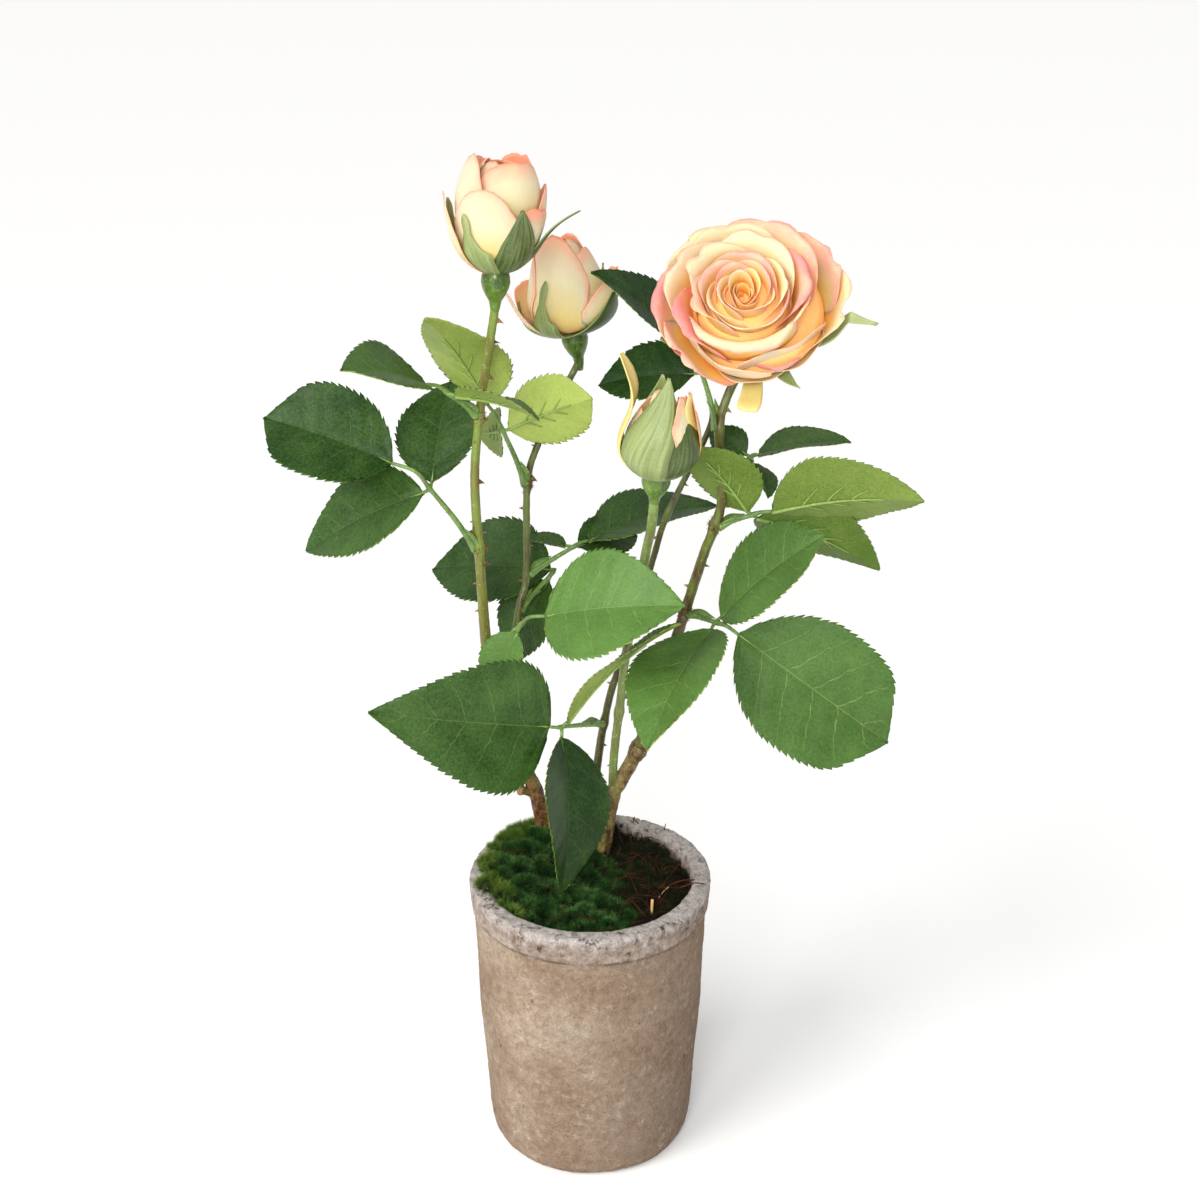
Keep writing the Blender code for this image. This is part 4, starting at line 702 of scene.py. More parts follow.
LEAF_TOP = printed_leaf("printed_leaf_cloth_upper", "#17340a", "#688f45", "#9fb366", 0.40, 0.40, -0.8)
LEAF_UNDER = printed_leaf("printed_leaf_cloth_under", "#4c681f", "#a6b65c", "#b2bf6e", 0.50, 0.35, 0.6)
SEPAL_GREEN = painted_sepal("painted_sepal_green", "#384a14", "#aab877", 0.40)
SEPAL_PALE = painted_sepal("painted_sepal_pale", "#8a9c58", "#bcc78e", 0.50)
SEPAL_TAN = painted_sepal("painted_sepal_tan", "#8f7a2e", "#d8c67a", 0.50)
PETAL_INNER = dyed_petal("dyed_satin_petal_inner", [
    (0.44, "#f88e38"), (0.60, "#f2b050"), (0.78, "#eac87c"), (0.93, "#e8d2ac")], "#f2948e", 0.30,
    "#ee7f78", 0.35)
PETAL_OUTER = dyed_petal("dyed_satin_petal_outer", [
    (0.20, "#e8b24e"), (0.50, "#e6bc66"), (0.78, "#e2c486"), (0.95, "#e2ccaa")], "#ec948e", 0.31,
    "#e0806a", 0.30)
HIP = moulded_cane("moulded_hip", "#5f7a2a", "#38521a", "#86a54a", 0.28)
WADDING = dyed_wadding()
BUD_PETAL = dyed_petal("dyed_satin_bud_petal", [
    (0.06, "#d89e46"), (0.30, "#e2c484"), (0.62, "#e6d0ac"), (0.94, "#e8c0a4")], "#f2a084", 0.20,
    "#e2703c", 0.35)


# --- routes ------------------------------------------------------------------------------------------
def direction(heading, rise):
    """The unit vector with this heading and rise, in degrees."""
    heading, rise = math.radians(heading), math.radians(rise)
    return Vector((math.cos(rise) * math.cos(heading), math.cos(rise) * math.sin(heading), math.sin(rise)))


CURVE_STEPS = 8                # points of a curve for each one that is given


def smooth_curve(points):
    """Points along a smooth curve through the given ones, as an array."""
    given = np.array([tuple(p) for p in points], float)
    padded = np.vstack([2 * given[0] - given[1], given, 2 * given[-1] - given[-2]])
    curve = []
    for i in range(1, len(padded) - 2):
        p0, p1, p2, p3 = padded[i - 1:i + 3]
        for k in range(CURVE_STEPS):
            t = k / CURVE_STEPS
            curve.append(0.5 * (2 * p1 + (p2 - p0) * t + (2 * p0 - 5 * p1 + 4 * p2 - p3) * t * t
                                + (3 * p1 - p0 - 3 * p2 + p3) * t ** 3))
    curve.append(given[-1])
    return np.array(curve)


class Route:
    """A smooth curve that is read by the distance along it; distances may be numbers or arrays."""

    def __init__(self, points):
        self.curve = smooth_curve(points)
        lengths = np.linalg.norm(np.diff(self.curve, axis=0), axis=1)
        self.distance = np.concatenate([[0], np.cumsum(lengths)])
        self.length = self.distance[-1]

    def at(self, distance):
        """The point at a distance from the start."""
        return np.stack([np.interp(distance, self.distance, axis) for axis in self.curve.T], -1)

    def heading(self, distance):
        """The unit tangent at a distance from the start."""
        step = min(1.0, self.length / 8)
        inside = np.clip(distance, 0.0, self.length)
        tangent = self.at(np.minimum(inside + step, self.length)) - self.at(np.maximum(inside - step, 0.0))
        return tangent / np.linalg.norm(tangent, axis=-1, keepdims=True)

    def at_height(self, height):
        """The distance along the route at which it climbs past a height."""
        return float(np.interp(height, self.curve[:, 2], self.distance))


ROUTES = {name: Route(stem.route) for name, stem in STEMS.items()}


# --- skins: the meshes of the pieces -----------------------------------------------------------------
class Skin:
    """The points, faces, sheet coordinates, tints and blushes of one piece, gathered for its mesh."""

    def __init__(self):
        self.points = []
        self.faces = []
        self.slots = []
        self.sheet = []
        self.tint = []
        self.blush = []

    def add(self, points, faces, slots, sheet=None, tint=0.0, blush=0.0):
        """Add points with faces between them; slots is one material number, or one for each face."""
        start = len(self.points)
        count = len(points)
        self.points.extend(map(tuple, points))
        self.faces.extend(tuple(start + corner for corner in face) for face in faces)
        self.slots.extend([slots] * len(faces) if isinstance(slots, int) else slots)
        self.sheet.extend(map(tuple, sheet) if sheet is not None else [(0.0, 0.0)] * count)
        self.tint.extend([tint] * count)
        self.blush.extend([blush] * count)

    def join(self, other):
        """Take over everything another skin has gathered."""
        start = len(self.points)
        self.points += other.points
        self.faces += [tuple(start + corner for corner in face) for face in other.faces]
        self.slots += other.slots
        self.sheet += other.sheet
        self.tint += other.tint
        self.blush += other.blush

    def move(self, matrix):
        """Turn and shift everything gathered so far."""
        turned = np.array(self.points) @ np.array(matrix.to_3x3()).T + np.array(matrix.translation)
        self.points = list(map(tuple, turned))


def make_piece(name, skin, materials, replaced=()):
    """Turn a skin into a finished piece that rides on the plant and stands for the named solids."""
    mesh = bpy.data.meshes.new(name)
    mesh.from_pydata([(x * MM, y * MM, z * MM) for x, y, z in skin.points], [], skin.faces)
    corners = np.zeros(len(mesh.loops), np.int32)
    mesh.loops.foreach_get("vertex_index", corners)
    layer = mesh.uv_layers.new(name="sheet")
    layer.data.foreach_set("uv", np.array(skin.sheet, np.float32)[corners].ravel())
    for label, values in (("tint", skin.tint), ("blush", skin.blush)):
        mesh.attributes.new(label, "FLOAT", "POINT").data.foreach_set("value", np.array(values, np.float32))
    for material in materials:
        mesh.materials.append(material)
    mesh.polygons.foreach_set("material_index", np.array(skin.slots, np.int32))
    mesh.shade_smooth()
    mesh.validate()
    piece = bpy.data.objects.new(name, mesh)
    bpy.context.scene.collection.objects.link(piece)
    adopt(piece, replaced)


def adopt(piece, replaced=()):
    """Hand a finished piece to the frame."""
    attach(piece, "root")
    if replaced:
        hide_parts(*replaced)


def grid_faces(rows, columns, closed=False, start=0):
    """The quads between neighbouring points of a grid that is stored row by row."""
    faces = []
    for row in range(rows - 1):
        for column in range(columns if closed else columns - 1):
            after = (column + 1) % columns
            low, high = start + row * columns, start + (row + 1) * columns
            faces.append((low + column, low + after, high + after, high + column))
    return faces


def closed_faces(rings, sides):
    """The faces of a closed round shape: quads between its rings, and a fan round each of two end points."""
    faces = grid_faces(rings, sides, closed=True)
    first, last, top = rings * sides, rings * sides + 1, (rings - 1) * sides
    for k in range(sides):
        faces.append((first, (k + 1) % sides, k))
        faces.append((last, top + k, top + (k + 1) % sides))
    return faces


def round_sheet(rings, sides):
    """The sheet coordinates of a closed round shape: round it, along it and at its two end points."""
    return [(k / sides, ring / rings) for ring in range(rings) for k in range(sides)] + [(0, 0), (0, 1)]


def add_plate(skin, front, thickness, slots, tint=0.0, blush=0.0):
    """Add a closed thin plate whose front is a grid of points (rows from foot to lip, columns across)."""
    rows, columns = front.shape[:2]
    normal = np.cross(np.gradient(front, axis=1), np.gradient(front, axis=0))
    normal /= np.maximum(np.linalg.norm(normal, axis=2, keepdims=True), 1e-9)
    back = front - normal * thickness
    points = np.vstack([front.reshape(-1, 3), back.reshape(-1, 3)])
    ahead = grid_faces(rows, columns)
    behind = [tuple(reversed(face)) for face in grid_faces(rows, columns, start=rows * columns)]
    rim = list(range(columns))
    rim += [row * columns + columns - 1 for row in range(1, rows)]
    rim += [(rows - 1) * columns + column for column in range(columns - 2, -1, -1)]
    rim += [row * columns for row in range(rows - 2, 0, -1)]
    edge = []
    for near, far in zip(rim, rim[1:] + rim[:1]):
        edge.append((far, near, near + rows * columns, far + rows * columns))
    across, along = np.meshgrid(np.linspace(0, 1, columns), np.linspace(0, 1, rows))
    sheet = np.stack([across.ravel(), along.ravel()], 1)
    numbers = [slots[0]] * len(ahead) + [slots[1]] * (len(behind) + len(edge))
    skin.add(points, ahead + behind + edge, numbers, np.vstack([sheet, sheet]), tint, blush)


def add_tube(skin, points, tangents, radii, sides, slot, lumps=None):
    """Add a closed tube of one ring a point; lumps(point) gives what to add to the radius there."""
    side = Vector((0, 0, 1)) if abs(tangents[0][2]) < 0.9 else Vector((1, 0, 0))
    made = []
    for point, tangent, radius in zip(points, tangents, radii):
        tangent = Vector(tangent)
        side = (side - side.dot(tangent) * tangent).normalized()
        other = tangent.cross(side)
        for k in range(sides):
            angle = 2 * math.pi * k / sides
            spoke = side * math.cos(angle) + other * math.sin(angle)
            grown = radius + (lumps(Vector(point) + spoke * radius) if lumps else 0.0)
            made.append(Vector(point) + spoke * grown)
    made += [Vector(points[0]), Vector(points[-1])]
    skin.add(made, closed_faces(len(radii), sides), slot, round_sheet(len(radii), sides))


def add_stalk(skin, points, foot_radius, tip_radius, slot, sides=8, pitch=2.0):
    """Add a thin tapering stalk through a few points."""
    route = Route(points)
    stations = np.linspace(0, route.length, max(4, int(route.length / pitch)))
    radii = np.linspace(foot_radius, tip_radius, len(stations))
    add_tube(skin, route.at(stations), route.heading(stations), radii, sides, slot)


def add_lathe(skin, profile, sides, slot, lumps=None):
    """Add a shape turned about Z from (radius, height) pairs with a radius of 0 at each end."""
    rows = profile[1:-1]
    made = []
    for radius, height in rows:
        for k in range(sides):
            angle = 2 * math.pi * k / sides
            point = Vector((radius * math.cos(angle), radius * math.sin(angle), height))
            made.append(point + (lumps(point) if lumps else Vector()))
    made += [Vector((0, 0, profile[0][1])), Vector((0, 0, profile[-1][1]))]
    skin.add(made, closed_faces(len(rows), sides), slot, round_sheet(len(rows), sides))


# --- pot ---------------------------------------------------------------------------------------------
POT_SIDES = 320
POT_PITCH = 1.3
# The clay's waves and grit: how far each stands off, and how many there are to a millimetre.
CLAY_WAVES = [(0.5, 0.035), (0.22, 0.15), (0.26, 0.42), (0.16, 0.9)]
CHIP_DEPTH = 3.6
CRUMB_DEPTH = 0.45


def clay_lumps(point):
    """How far a point of the pot stands off the turned shape: waves, sand and a crumbling rim."""
    out = Vector((point.x, point.y, 0)).normalized()
    wave = sum(height * noise.noise(point * often) for height, often in CLAY_WAVES)
    near_rim = min(max((point.z - (POT_HEIGHT - BAND_HEIGHT - 2)) / 8, 0.0), 1.0)
    chips = noise.noise(point * 0.33 + Vector((7, 3, 1)))
    crumble = -max(chips - 0.22, 0.0) * CHIP_DEPTH - CRUMB_DEPTH * max(noise.noise(point * 0.8), 0.0)
    shift = out * (wave + near_rim * crumble * 0.8)
    if point.z < 1.0:
        return Vector((shift.x, shift.y, 0))
    top = min(max((point.z - (POT_HEIGHT - 4)) / 4, 0.0), 1.0)
    shift.z = top * (crumble * 0.9 + 0.5 * noise.noise(point * 0.08 + Vector((0, 9, 4))) - 0.2)
    return shift


def refine(profile, pitch):
    """A profile with points no further apart than the pitch, keeping its corners."""
    fine = [profile[0]]
    for (r0, z0), (r1, z1) in zip(profile, profile[1:]):
        count = max(1, round(math.hypot(r1 - r0, z1 - z0) / pitch))
        fine += [(r0 + (r1 - r0) * k / count, z0 + (z1 - z0) * k / count) for k in range(1, count + 1)]
    return fine


def make_pot():
    """The pot: a thrown cylinder with a proud rim band, its rim crusted and chipped."""
    band_foot = POT_HEIGHT - BAND_HEIGHT
    body = [
        (UNDERSIDE_RADIUS, 0),
        (BODY_FOOT_RADIUS - 2.5, FOOT_HEIGHT * 0.14),
        (BODY_FOOT_RADIUS - 0.8, FOOT_HEIGHT * 0.45),
        (BODY_FOOT_RADIUS, FOOT_HEIGHT),
        (BODY_FOOT_RADIUS + 0.7 * (BODY_TOP_RADIUS - BODY_FOOT_RADIUS), band_foot * 0.58),
        (BODY_TOP_RADIUS, band_foot - BAND_STEP),
        (BODY_TOP_RADIUS - 0.7, band_foot - 0.5),
        (BODY_TOP_RADIUS + BAND_STEP - 0.1, band_foot + 0.3),
        (RIM_RADIUS + 0.2, POT_HEIGHT - 2.6),
        (RIM_RADIUS - 0.1, POT_HEIGHT - 0.9),
        (RIM_RADIUS - 1.0, POT_HEIGHT),
        (RIM_RADIUS - RIM_WALL + 1.4, POT_HEIGHT),
        (RIM_RADIUS - RIM_WALL + 0.3, POT_HEIGHT - 0.9),
        (RIM_RADIUS - RIM_WALL, POT_HEIGHT - 3.0),
    ]
    fine = refine(body, POT_PITCH)
    inside = [(BORE_FOOT_RADIUS, FLOOR), (BORE_FOOT_RADIUS - 10, FLOOR)]
    profile = [(0, 0), (UNDERSIDE_RADIUS - 12, 0)] + fine + inside + [(0, FLOOR)]
    skin = Skin()
    add_lathe(skin, profile, POT_SIDES, 0, clay_lumps)
    make_piece("clay_pot", skin, [CLAY], ["pot"])


# --- moss --------------------------------------------------------------------------------------------
MOSS_EDGE = BORE_FOOT_RADIUS + (RIM_RADIUS - RIM_WALL - BORE_FOOT_RADIUS) * (MOSS_LEVEL - FLOOR) / (
    POT_HEIGHT - FLOOR) - 0.6
MAT_RINGS = 26
MAT_SIDES = 90
MOSS_SEED = 11
CUSHION_TRIES = 3000
CUSHION_SIZES = (4.0, 7.5)     # smallest and largest radius of a cushion
CUSHION_CLEAR = 0.62           # how near two may stand, as a share of their radii together
CUSHION_TUFTS = 2.9            # tufts on a cushion, times its radius squared
LITTER_SHARE = 0.45            # how many of those a cushion of litter has

FIBRE_SEED = 5
FIBRE_TRIES = 150
FIBRE_LENGTHS = (8, 24)
TWIGLETS = [
    [(22, 44, 141), (22, 48, 147), (23, 51, 150.5)], [(27, 43, 142), (25, 48, 148), (22, 51, 149.5)],
    [(36, 36, 141), (38, 41, 147), (39, 43, 151)],
    [(44, -6, 143), (52, -9, 148), (57, -12, 149)], [(36, -3, 141), (45, -4, 146), (52, -6, 148)],
]
BENT_STRAW = [(30.5, -24, 148), (30.3, -26, 142), (31, -28, 137.5), (29, -29, 134.5)]
THIN_STRAW = [(32, -14, 139), (36, -10, 143), (39, -8, 145)]


def moss_height(radius, heading):
    """Height of the moss at a place: high at the back left, low at the right, rounded off at the edge."""
    reach = radius / MOSS_EDGE
    facing = math.cos(math.radians(heading - MOSS_MOUND_HEADING))
    swell = MOSS_MOUND * max(facing, 0.0) + MOSS_DIP * min(facing, 0.0)
    return MOSS_LEVEL + swell * math.sin(math.pi / 2 * reach) - MOSS_EDGE_DROP * reach ** 8


def greenness(x, y):
    """Where the living-looking moss lies: 1 on the left and in front, 0 at the right."""
    edge = 14 + 8 * noise.noise(Vector((x * 0.05, y * 0.05, 2.0))) - 0.25 * y
    return min(max((edge - x) / 8 + 0.5, 0.0), 1.0)


def moss_surface(x, y):
    """Height of the mat's lumpy surface at a place; the bare side is heaped up with litter."""
    radius = min(math.hypot(x, y), MOSS_EDGE)
    height = moss_height(radius, math.degrees(math.atan2(y, x)))
    lump = 1.6 * noise.noise(Vector((x * 0.09, y * 0.09, 0.0)))
    lump += 1.2 * noise.noise(Vector((x * 0.25, y * 0.25, 5.0)))
    return height - 2.0 + lump + (2.6 + 2.4 * (radius / MOSS_EDGE) ** 2) * (1 - greenness(x, y))


def moss_ground():
    """The points and faces of the lumpy mat under the cushions, closed down to just above the floor."""
    rings, sides = MAT_RINGS, MAT_SIDES
    points = [(0, 0, MOSS_LEVEL)]
    for ring in range(1, rings + 1):
        for k in range(sides):
            radius, angle = MOSS_EDGE * ring / rings, 2 * math.pi * k / sides
            x, y = radius * math.cos(angle), radius * math.sin(angle)
            points.append((x, y, moss_surface(x, y)))
    faces = [(0, 1 + k, 1 + (k + 1) % sides) for k in range(sides)]
    faces += [tuple(reversed(face)) for face in grid_faces(rings, sides, closed=True, start=1)]
    depth = len(points)
    last = 1 + (rings - 1) * sides
    points += [(x * 0.96, y * 0.96, FLOOR + 1) for x, y, _ in points[last:last + sides]] + [(0, 0, FLOOR + 1)]
    for k in range(sides):
        after = (k + 1) % sides
        faces.append((last + k, depth + k, depth + after, last + after))
        faces.append((depth + sides, depth + after, depth + k))
    return points, faces


def bristle_tuft(name, needles, length, radius, spread, base, seed):
    """A spray of three-sided needles from a small round base; their tint is 0 at the foot, 1 at the tip."""
    chance = random.Random(seed)
    points, faces, tints = [], [], []
    for k in range(needles):
        heading = 360 * k / needles + chance.uniform(-25, 25)
        rise = 90 - spread * chance.uniform(0.15, 1.0)
        along = direction(heading, rise)
        side = along.orthogonal().normalized()
        other = along.cross(side)
        start = len(points)
        foot = direction(chance.uniform(0, 360), 0) * base * math.sqrt(chance.random())
        for turn in (0, 120, 240):
            angle = math.radians(turn)
            points.append(foot + (side * math.cos(angle) + other * math.sin(angle)) * radius - along * 0.5)
        points.append(foot + along * length * chance.uniform(0.6, 1.1))
        tints += [0.0, 0.0, 0.0, 1.0]
        for corner in range(3):
            faces.append((start + corner, start + (corner + 1) % 3, start + 3))
        faces.append((start + 2, start + 1, start))
    mesh = bpy.data.meshes.new(name)
    mesh.from_pydata([tuple(p * MM) for p in points], [], faces)
    mesh.attributes.new("tint", "FLOAT", "POINT").data.foreach_set("value", np.array(tints, np.float32))
    tuft = bpy.data.objects.new(name, mesh)
    bpy.context.scene.collection.objects.link(tuft)
    return tuft


def scatter_tree(name):
    """A node tree that stands copies of an object on points; each point's aim and size are attributes."""
    tree = bpy.data.node_groups.new(name, "GeometryNodeTree")
    for label, kind in (("Points", "Geometry"), ("Copied", "Object"), ("Size", "Float"),
                        ("Size spread", "Float"), ("Seed", "Int"), ("Finish", "Material")):
        tree.interface.new_socket(label, in_out="INPUT", socket_type="NodeSocket" + kind)
    tree.interface.new_socket("Copies", in_out="OUTPUT", socket_type="NodeSocketGeometry")
    given = tree.nodes.new("NodeGroupInput").outputs
    copied = add(tree, "GeometryNodeObjectInfo", {"Object": given["Copied"], "As Instance": True},
                 output="Geometry")
    aim = add(tree, "GeometryNodeInputNamedAttribute", {"Name": "aim"}, data_type="FLOAT_VECTOR")
    own = add(tree, "GeometryNodeInputNamedAttribute", {"Name": "size"}, data_type="FLOAT")
    spin = add(tree, "FunctionNodeRandomValue", {"Min": 0.0, "Max": 6.283, "Seed": given["Seed"]},
               output=1, data_type="FLOAT")
    spun = add(tree, "ShaderNodeCombineXYZ", {"Z": spin})
    turned = add(tree, "FunctionNodeAlignRotationToVector", {"Vector": aim}, axis="Z")
    turned = add(tree, "FunctionNodeRotateRotation", {"Rotation": turned, "Rotate By": spun},
                 rotation_space="LOCAL")
    low = add(tree, "ShaderNodeMath", {0: 1.0, 1: given["Size spread"]}, operation="SUBTRACT")
    high = add(tree, "ShaderNodeMath", {0: 1.0, 1: given["Size spread"]}, operation="ADD")
    vary = add(tree, "FunctionNodeRandomValue", {2: low, 3: high, "Seed": given["Seed"]}, output=1,
               data_type="FLOAT")
    size = add(tree, "ShaderNodeMath", {0: given["Size"], 1: own}, operation="MULTIPLY")
    size = add(tree, "ShaderNodeMath", {0: size, 1: vary}, operation="MULTIPLY")
    copies = add(tree, "GeometryNodeInstanceOnPoints", {
        "Points": given["Points"], "Instance": copied, "Rotation": turned, "Scale": size})
    real = add(tree, "GeometryNodeRealizeInstances", {"Geometry": copies})
    finished = add(tree, "GeometryNodeSetMaterial", {"Geometry": real, "Material": given["Finish"]})
    add(tree, "NodeGroupOutput", {"Copies": finished})
    return tree


SCATTER = scatter_tree("scatter_on_points")


def scatter(name, points, aims, sizes, copied, spread, seed, finish):
    """Stand copies of an object on points by the node tree, and keep the result as one plain piece."""
    mesh = bpy.data.meshes.new(name + "_points")
    mesh.from_pydata([(x * MM, y * MM, z * MM) for x, y, z in points], [], [])
    mesh.attributes.new("aim", "FLOAT_VECTOR", "POINT").data.foreach_set(
        "vector", np.array(aims, np.float32).ravel())
    mesh.attributes.new("size", "FLOAT", "POINT").data.foreach_set("value", np.array(sizes, np.float32))
    piece = bpy.data.objects.new(name, mesh)
    bpy.context.scene.collection.objects.link(piece)
    modifier = piece.modifiers.new("scatter", "NODES")
    modifier.node_group = SCATTER
    chosen = {"Copied": copied, "Size": 1.0, "Size spread": spread, "Seed": seed, "Finish": finish}
    for item in SCATTER.interface.items_tree:
        if item.in_out == "INPUT" and item.name in chosen:
            modifier[item.identifier] = chosen[item.name]
    graph = bpy.context.evaluated_depsgraph_get()
    made = bpy.data.meshes.new_from_object(piece.evaluated_get(graph))
    piece.modifiers.clear()
    piece.data = made
    made.name = name
    bpy.data.meshes.remove(mesh)
    made.shade_flat()
    adopt(piece)


def drop(thing):
    """Remove a helper object and its mesh."""
    mesh = thing.data
    bpy.data.objects.remove(thing)
    bpy.data.meshes.remove(mesh)


def cushion_kind(x, y, chance):
    """Which moss grows at a place: the loose litter of the bare side, or one of the three green kinds."""
    heading = math.degrees(math.atan2(y, x)) % 360
    if chance.random() > greenness(x, y):
        return "litter"
    if math.hypot(x, y) > MOSS_EDGE * 0.86 and 105 < heading < 220:
        return "fringe"
    return "left" if x < -12 else "front"


def make_moss():
    """The mat, and cushions of fine needles on it: green, yellow-green at the left, dark at the right."""
    chance = random.Random(MOSS_SEED)
    skin = Skin()
    points, faces = moss_ground()
    skin.add(points, faces, 0)
    peat = dyed_moss("peat_and_moss_mat", "#0b0a05", "#16200c")
    make_piece("moss_mat", skin, [peat], ["moss_bed"])
    cushions = []
    for _ in range(CUSHION_TRIES):
        radius, heading = (MOSS_EDGE + 0.5) * math.sqrt(chance.random()), chance.uniform(0, 360)
        x, y = radius * math.cos(math.radians(heading)), radius * math.sin(math.radians(heading))
        size = chance.uniform(*CUSHION_SIZES)
        if all(math.hypot(x - x0, y - y0) > CUSHION_CLEAR * (size + size0) for x0, y0, size0 in cushions):
            cushions.append((x, y, size))
    kinds = {"left": [], "front": [], "fringe": [], "litter": []}
    for x, y, size in cushions:
        kind = cushion_kind(x, y, chance)
        middle = Vector((x, y, moss_surface(x, y) - 0.1 * size))
        for _ in range(int(CUSHION_TUFTS * size * size * (LITTER_SHARE if kind == "litter" else 1.0))):
            out = direction(chance.uniform(0, 360), 90 - 86 * math.sqrt(chance.random()))
            foot = middle + Vector((out.x * 0.9, out.y * 0.9, out.z * 0.55)) * size
            away = math.hypot(foot.x, foot.y) / (MOSS_EDGE + 1.2)
            if away > 1 and kind != "fringe":
                continue
            lean = Vector((0.2 * noise.noise(foot * 0.3), 0.2 * noise.noise(foot * 0.3 + middle), 0.25))
            kinds[kind].append((foot, (out + lean).normalized(), chance.uniform(0.75, 1.1)))
    fine = bristle_tuft("fine_tuft", 13, 3.6, 0.13, 26, 0.9, 3)
    loose = bristle_tuft("loose_tuft", 11, 4.2, 0.15, 70, 1.2, 4)
    green = dyed_moss("dyed_moss_green", "#060f04", "#234a18", "#6f9552")
    finishes = {
        "left": (fine, green),
        "front": (fine, green),
        "fringe": (fine, dyed_moss("dyed_moss_yellow_green", "#16260a", "#4c6c20", "#a3b058")),
        "litter": (loose, dyed_moss("dyed_moss_dark", "#090602", "#20200b", "#3d5420")),
    }
    for number, (kind, spots) in enumerate(kinds.items()):
        feet, aims, sizes = zip(*spots)
        scatter("moss_cushions_" + kind, feet, aims, sizes, finishes[kind][0], 0.25, number + 1,
                finishes[kind][1])
    drop(fine)
    drop(loose)


def make_fibres():
    """Brown root fibres, mostly on the bare side, two straws, and the twiglets that lie over the rim."""
    chance = random.Random(FIBRE_SEED)
    brown, straw = Skin(), Skin()
    limit = MOSS_EDGE - 1.0
    for _ in range(FIBRE_TRIES):
        radius = MOSS_EDGE * math.sqrt(chance.random()) * 0.96
        heading = chance.uniform(0, 360)
        x, y = radius * math.cos(math.radians(heading)), radius * math.sin(math.radians(heading))
        if greenness(x, y) > 0.5 and chance.random() < 0.9:
            continue
        z = moss_surface(x, y) + 0.5
        turn, length = chance.uniform(0, 360), chance.uniform(*FIBRE_LENGTHS)
        along = direction(turn, chance.uniform(-5, 20))
        across = direction(turn + 90, 0) * chance.uniform(-4, 4)
        start = Vector((x, y, z + chance.uniform(0, 2.5)))
        end = start + along * length
        if math.hypot(end.x, end.y) > limit:
            shrink = limit / math.hypot(end.x, end.y)
            end.x, end.y = end.x * shrink, end.y * shrink
        middle = start.lerp(end, 0.5) + across + Vector((0, 0, chance.uniform(0.5, 4.0)))
        add_stalk(brown, [start, middle, end], 0.35, 0.15, 0, sides=4, pitch=3.0)
    for route in TWIGLETS:
        add_stalk(brown, route, 0.5, 0.25, 0, sides=5)
    add_stalk(straw, BENT_STRAW, 0.75, 0.6, 0, sides=6, pitch=1.5)
    add_stalk(straw, THIN_STRAW, 0.4, 0.25, 0, sides=5)
    make_piece("root_fibres", brown, [dyed_moss("dried_root_fibre", "#241009", "#5c2a12")])
    make_piece("straws", straw, [dyed_moss("dry_straw", "#b98a55", "#d8ab72")])


# --- stems -------------------------------------------------------------------------------------------
STEM_SIDES = 22
STEM_PITCH = 1.3
TAPER_BEND = 1.9               # above 1, a stem loses more of its thickness near its foot
# The sawn stub: where its rings stand, as shares of its length, and how wide they are, times its radius.
STUB_SHARES = (0.0, 0.3, 0.5, 0.65, 0.75, 0.85, 0.93, 0.98, 1.0)
STUB_SWELLS = (1.25, 0.9, 0.75, 0.72, 0.85, 1.0, 0.95, 0.75, 0.4)
THORN_RINGS = [(0.0, 0.42, 0.0), (0.35, 0.24, -0.02), (0.7, 0.11, -0.10)]     # height, radius, hook
THORN_SIDES = 6
FUZZ_SEED = 9
FUZZ_NODES = [("left", 317), ("left_back", 338), ("right", 328), ("right", 284), ("left", 385)]
FUZZ_BRISTLES = 70             # tufts round each of them


def stem_radius(name, distance):
    """A stem's radius at a distance from its foot: a taper, swollen at its nodes."""
    stem, route = STEMS[name], ROUTES[name]
    share = min(max(distance / route.length, 0.0), 1.0)
    radius = stem.tip_radius + (stem.foot_radius - stem.tip_radius) * (1 - share) ** TAPER_BEND
    for height, swell in KNOTS[name]:
        away = (distance - route.at_height(height)) / (2.2 + swell)
        radius += 0.6 * swell * math.exp(-away * away)
    return radius


def stem_piece(name, stem, start, end, material, roughness, extra=None):
    """The stretch of a stem that a solid of this name stands for, with its bark relief."""
    route = ROUTES[stem]
    stations = np.linspace(start, end, int((end - start) / STEM_PITCH) + 2)

    def lumps(point):
        """Ridges with narrow cracks between them along the stem, and finer grain."""
        stretched = Vector((point.x, point.y, point.z * 0.22))
        cracks = 0.6 - 2.4 * max(0.16 - abs(noise.noise(stretched * 0.62)), 0.0) / 0.16
        value = cracks + 0.9 * noise.noise(point * 0.35) + 0.5 * noise.noise(point * 0.9)
        return roughness * (value + 0.35 * noise.noise(point * 2.1))

    skin = Skin()
    radii = [stem_radius(stem, s) for s in stations]
    add_tube(skin, route.at(stations), route.heading(stations), radii, STEM_SIDES, 0, lumps)
    if extra:
        extra(skin)
    make_piece("dressed_" + name, skin, [material, THORN], [name])


def add_stub(skin):
    """The sawn-off side shoot on the left trunk, with its swollen pale end."""
    start = Vector(ROUTES["left"].at(ROUTES["left"].at_height(STUB_HEIGHT)))
    along = direction(STUB_HEADING, STUB_RISE)
    points = [start + along * STUB_LENGTH * share for share in STUB_SHARES]
    add_tube(skin, points, [along] * len(points), [STUB_RADIUS * swell for swell in STUB_SWELLS], 16, 1)


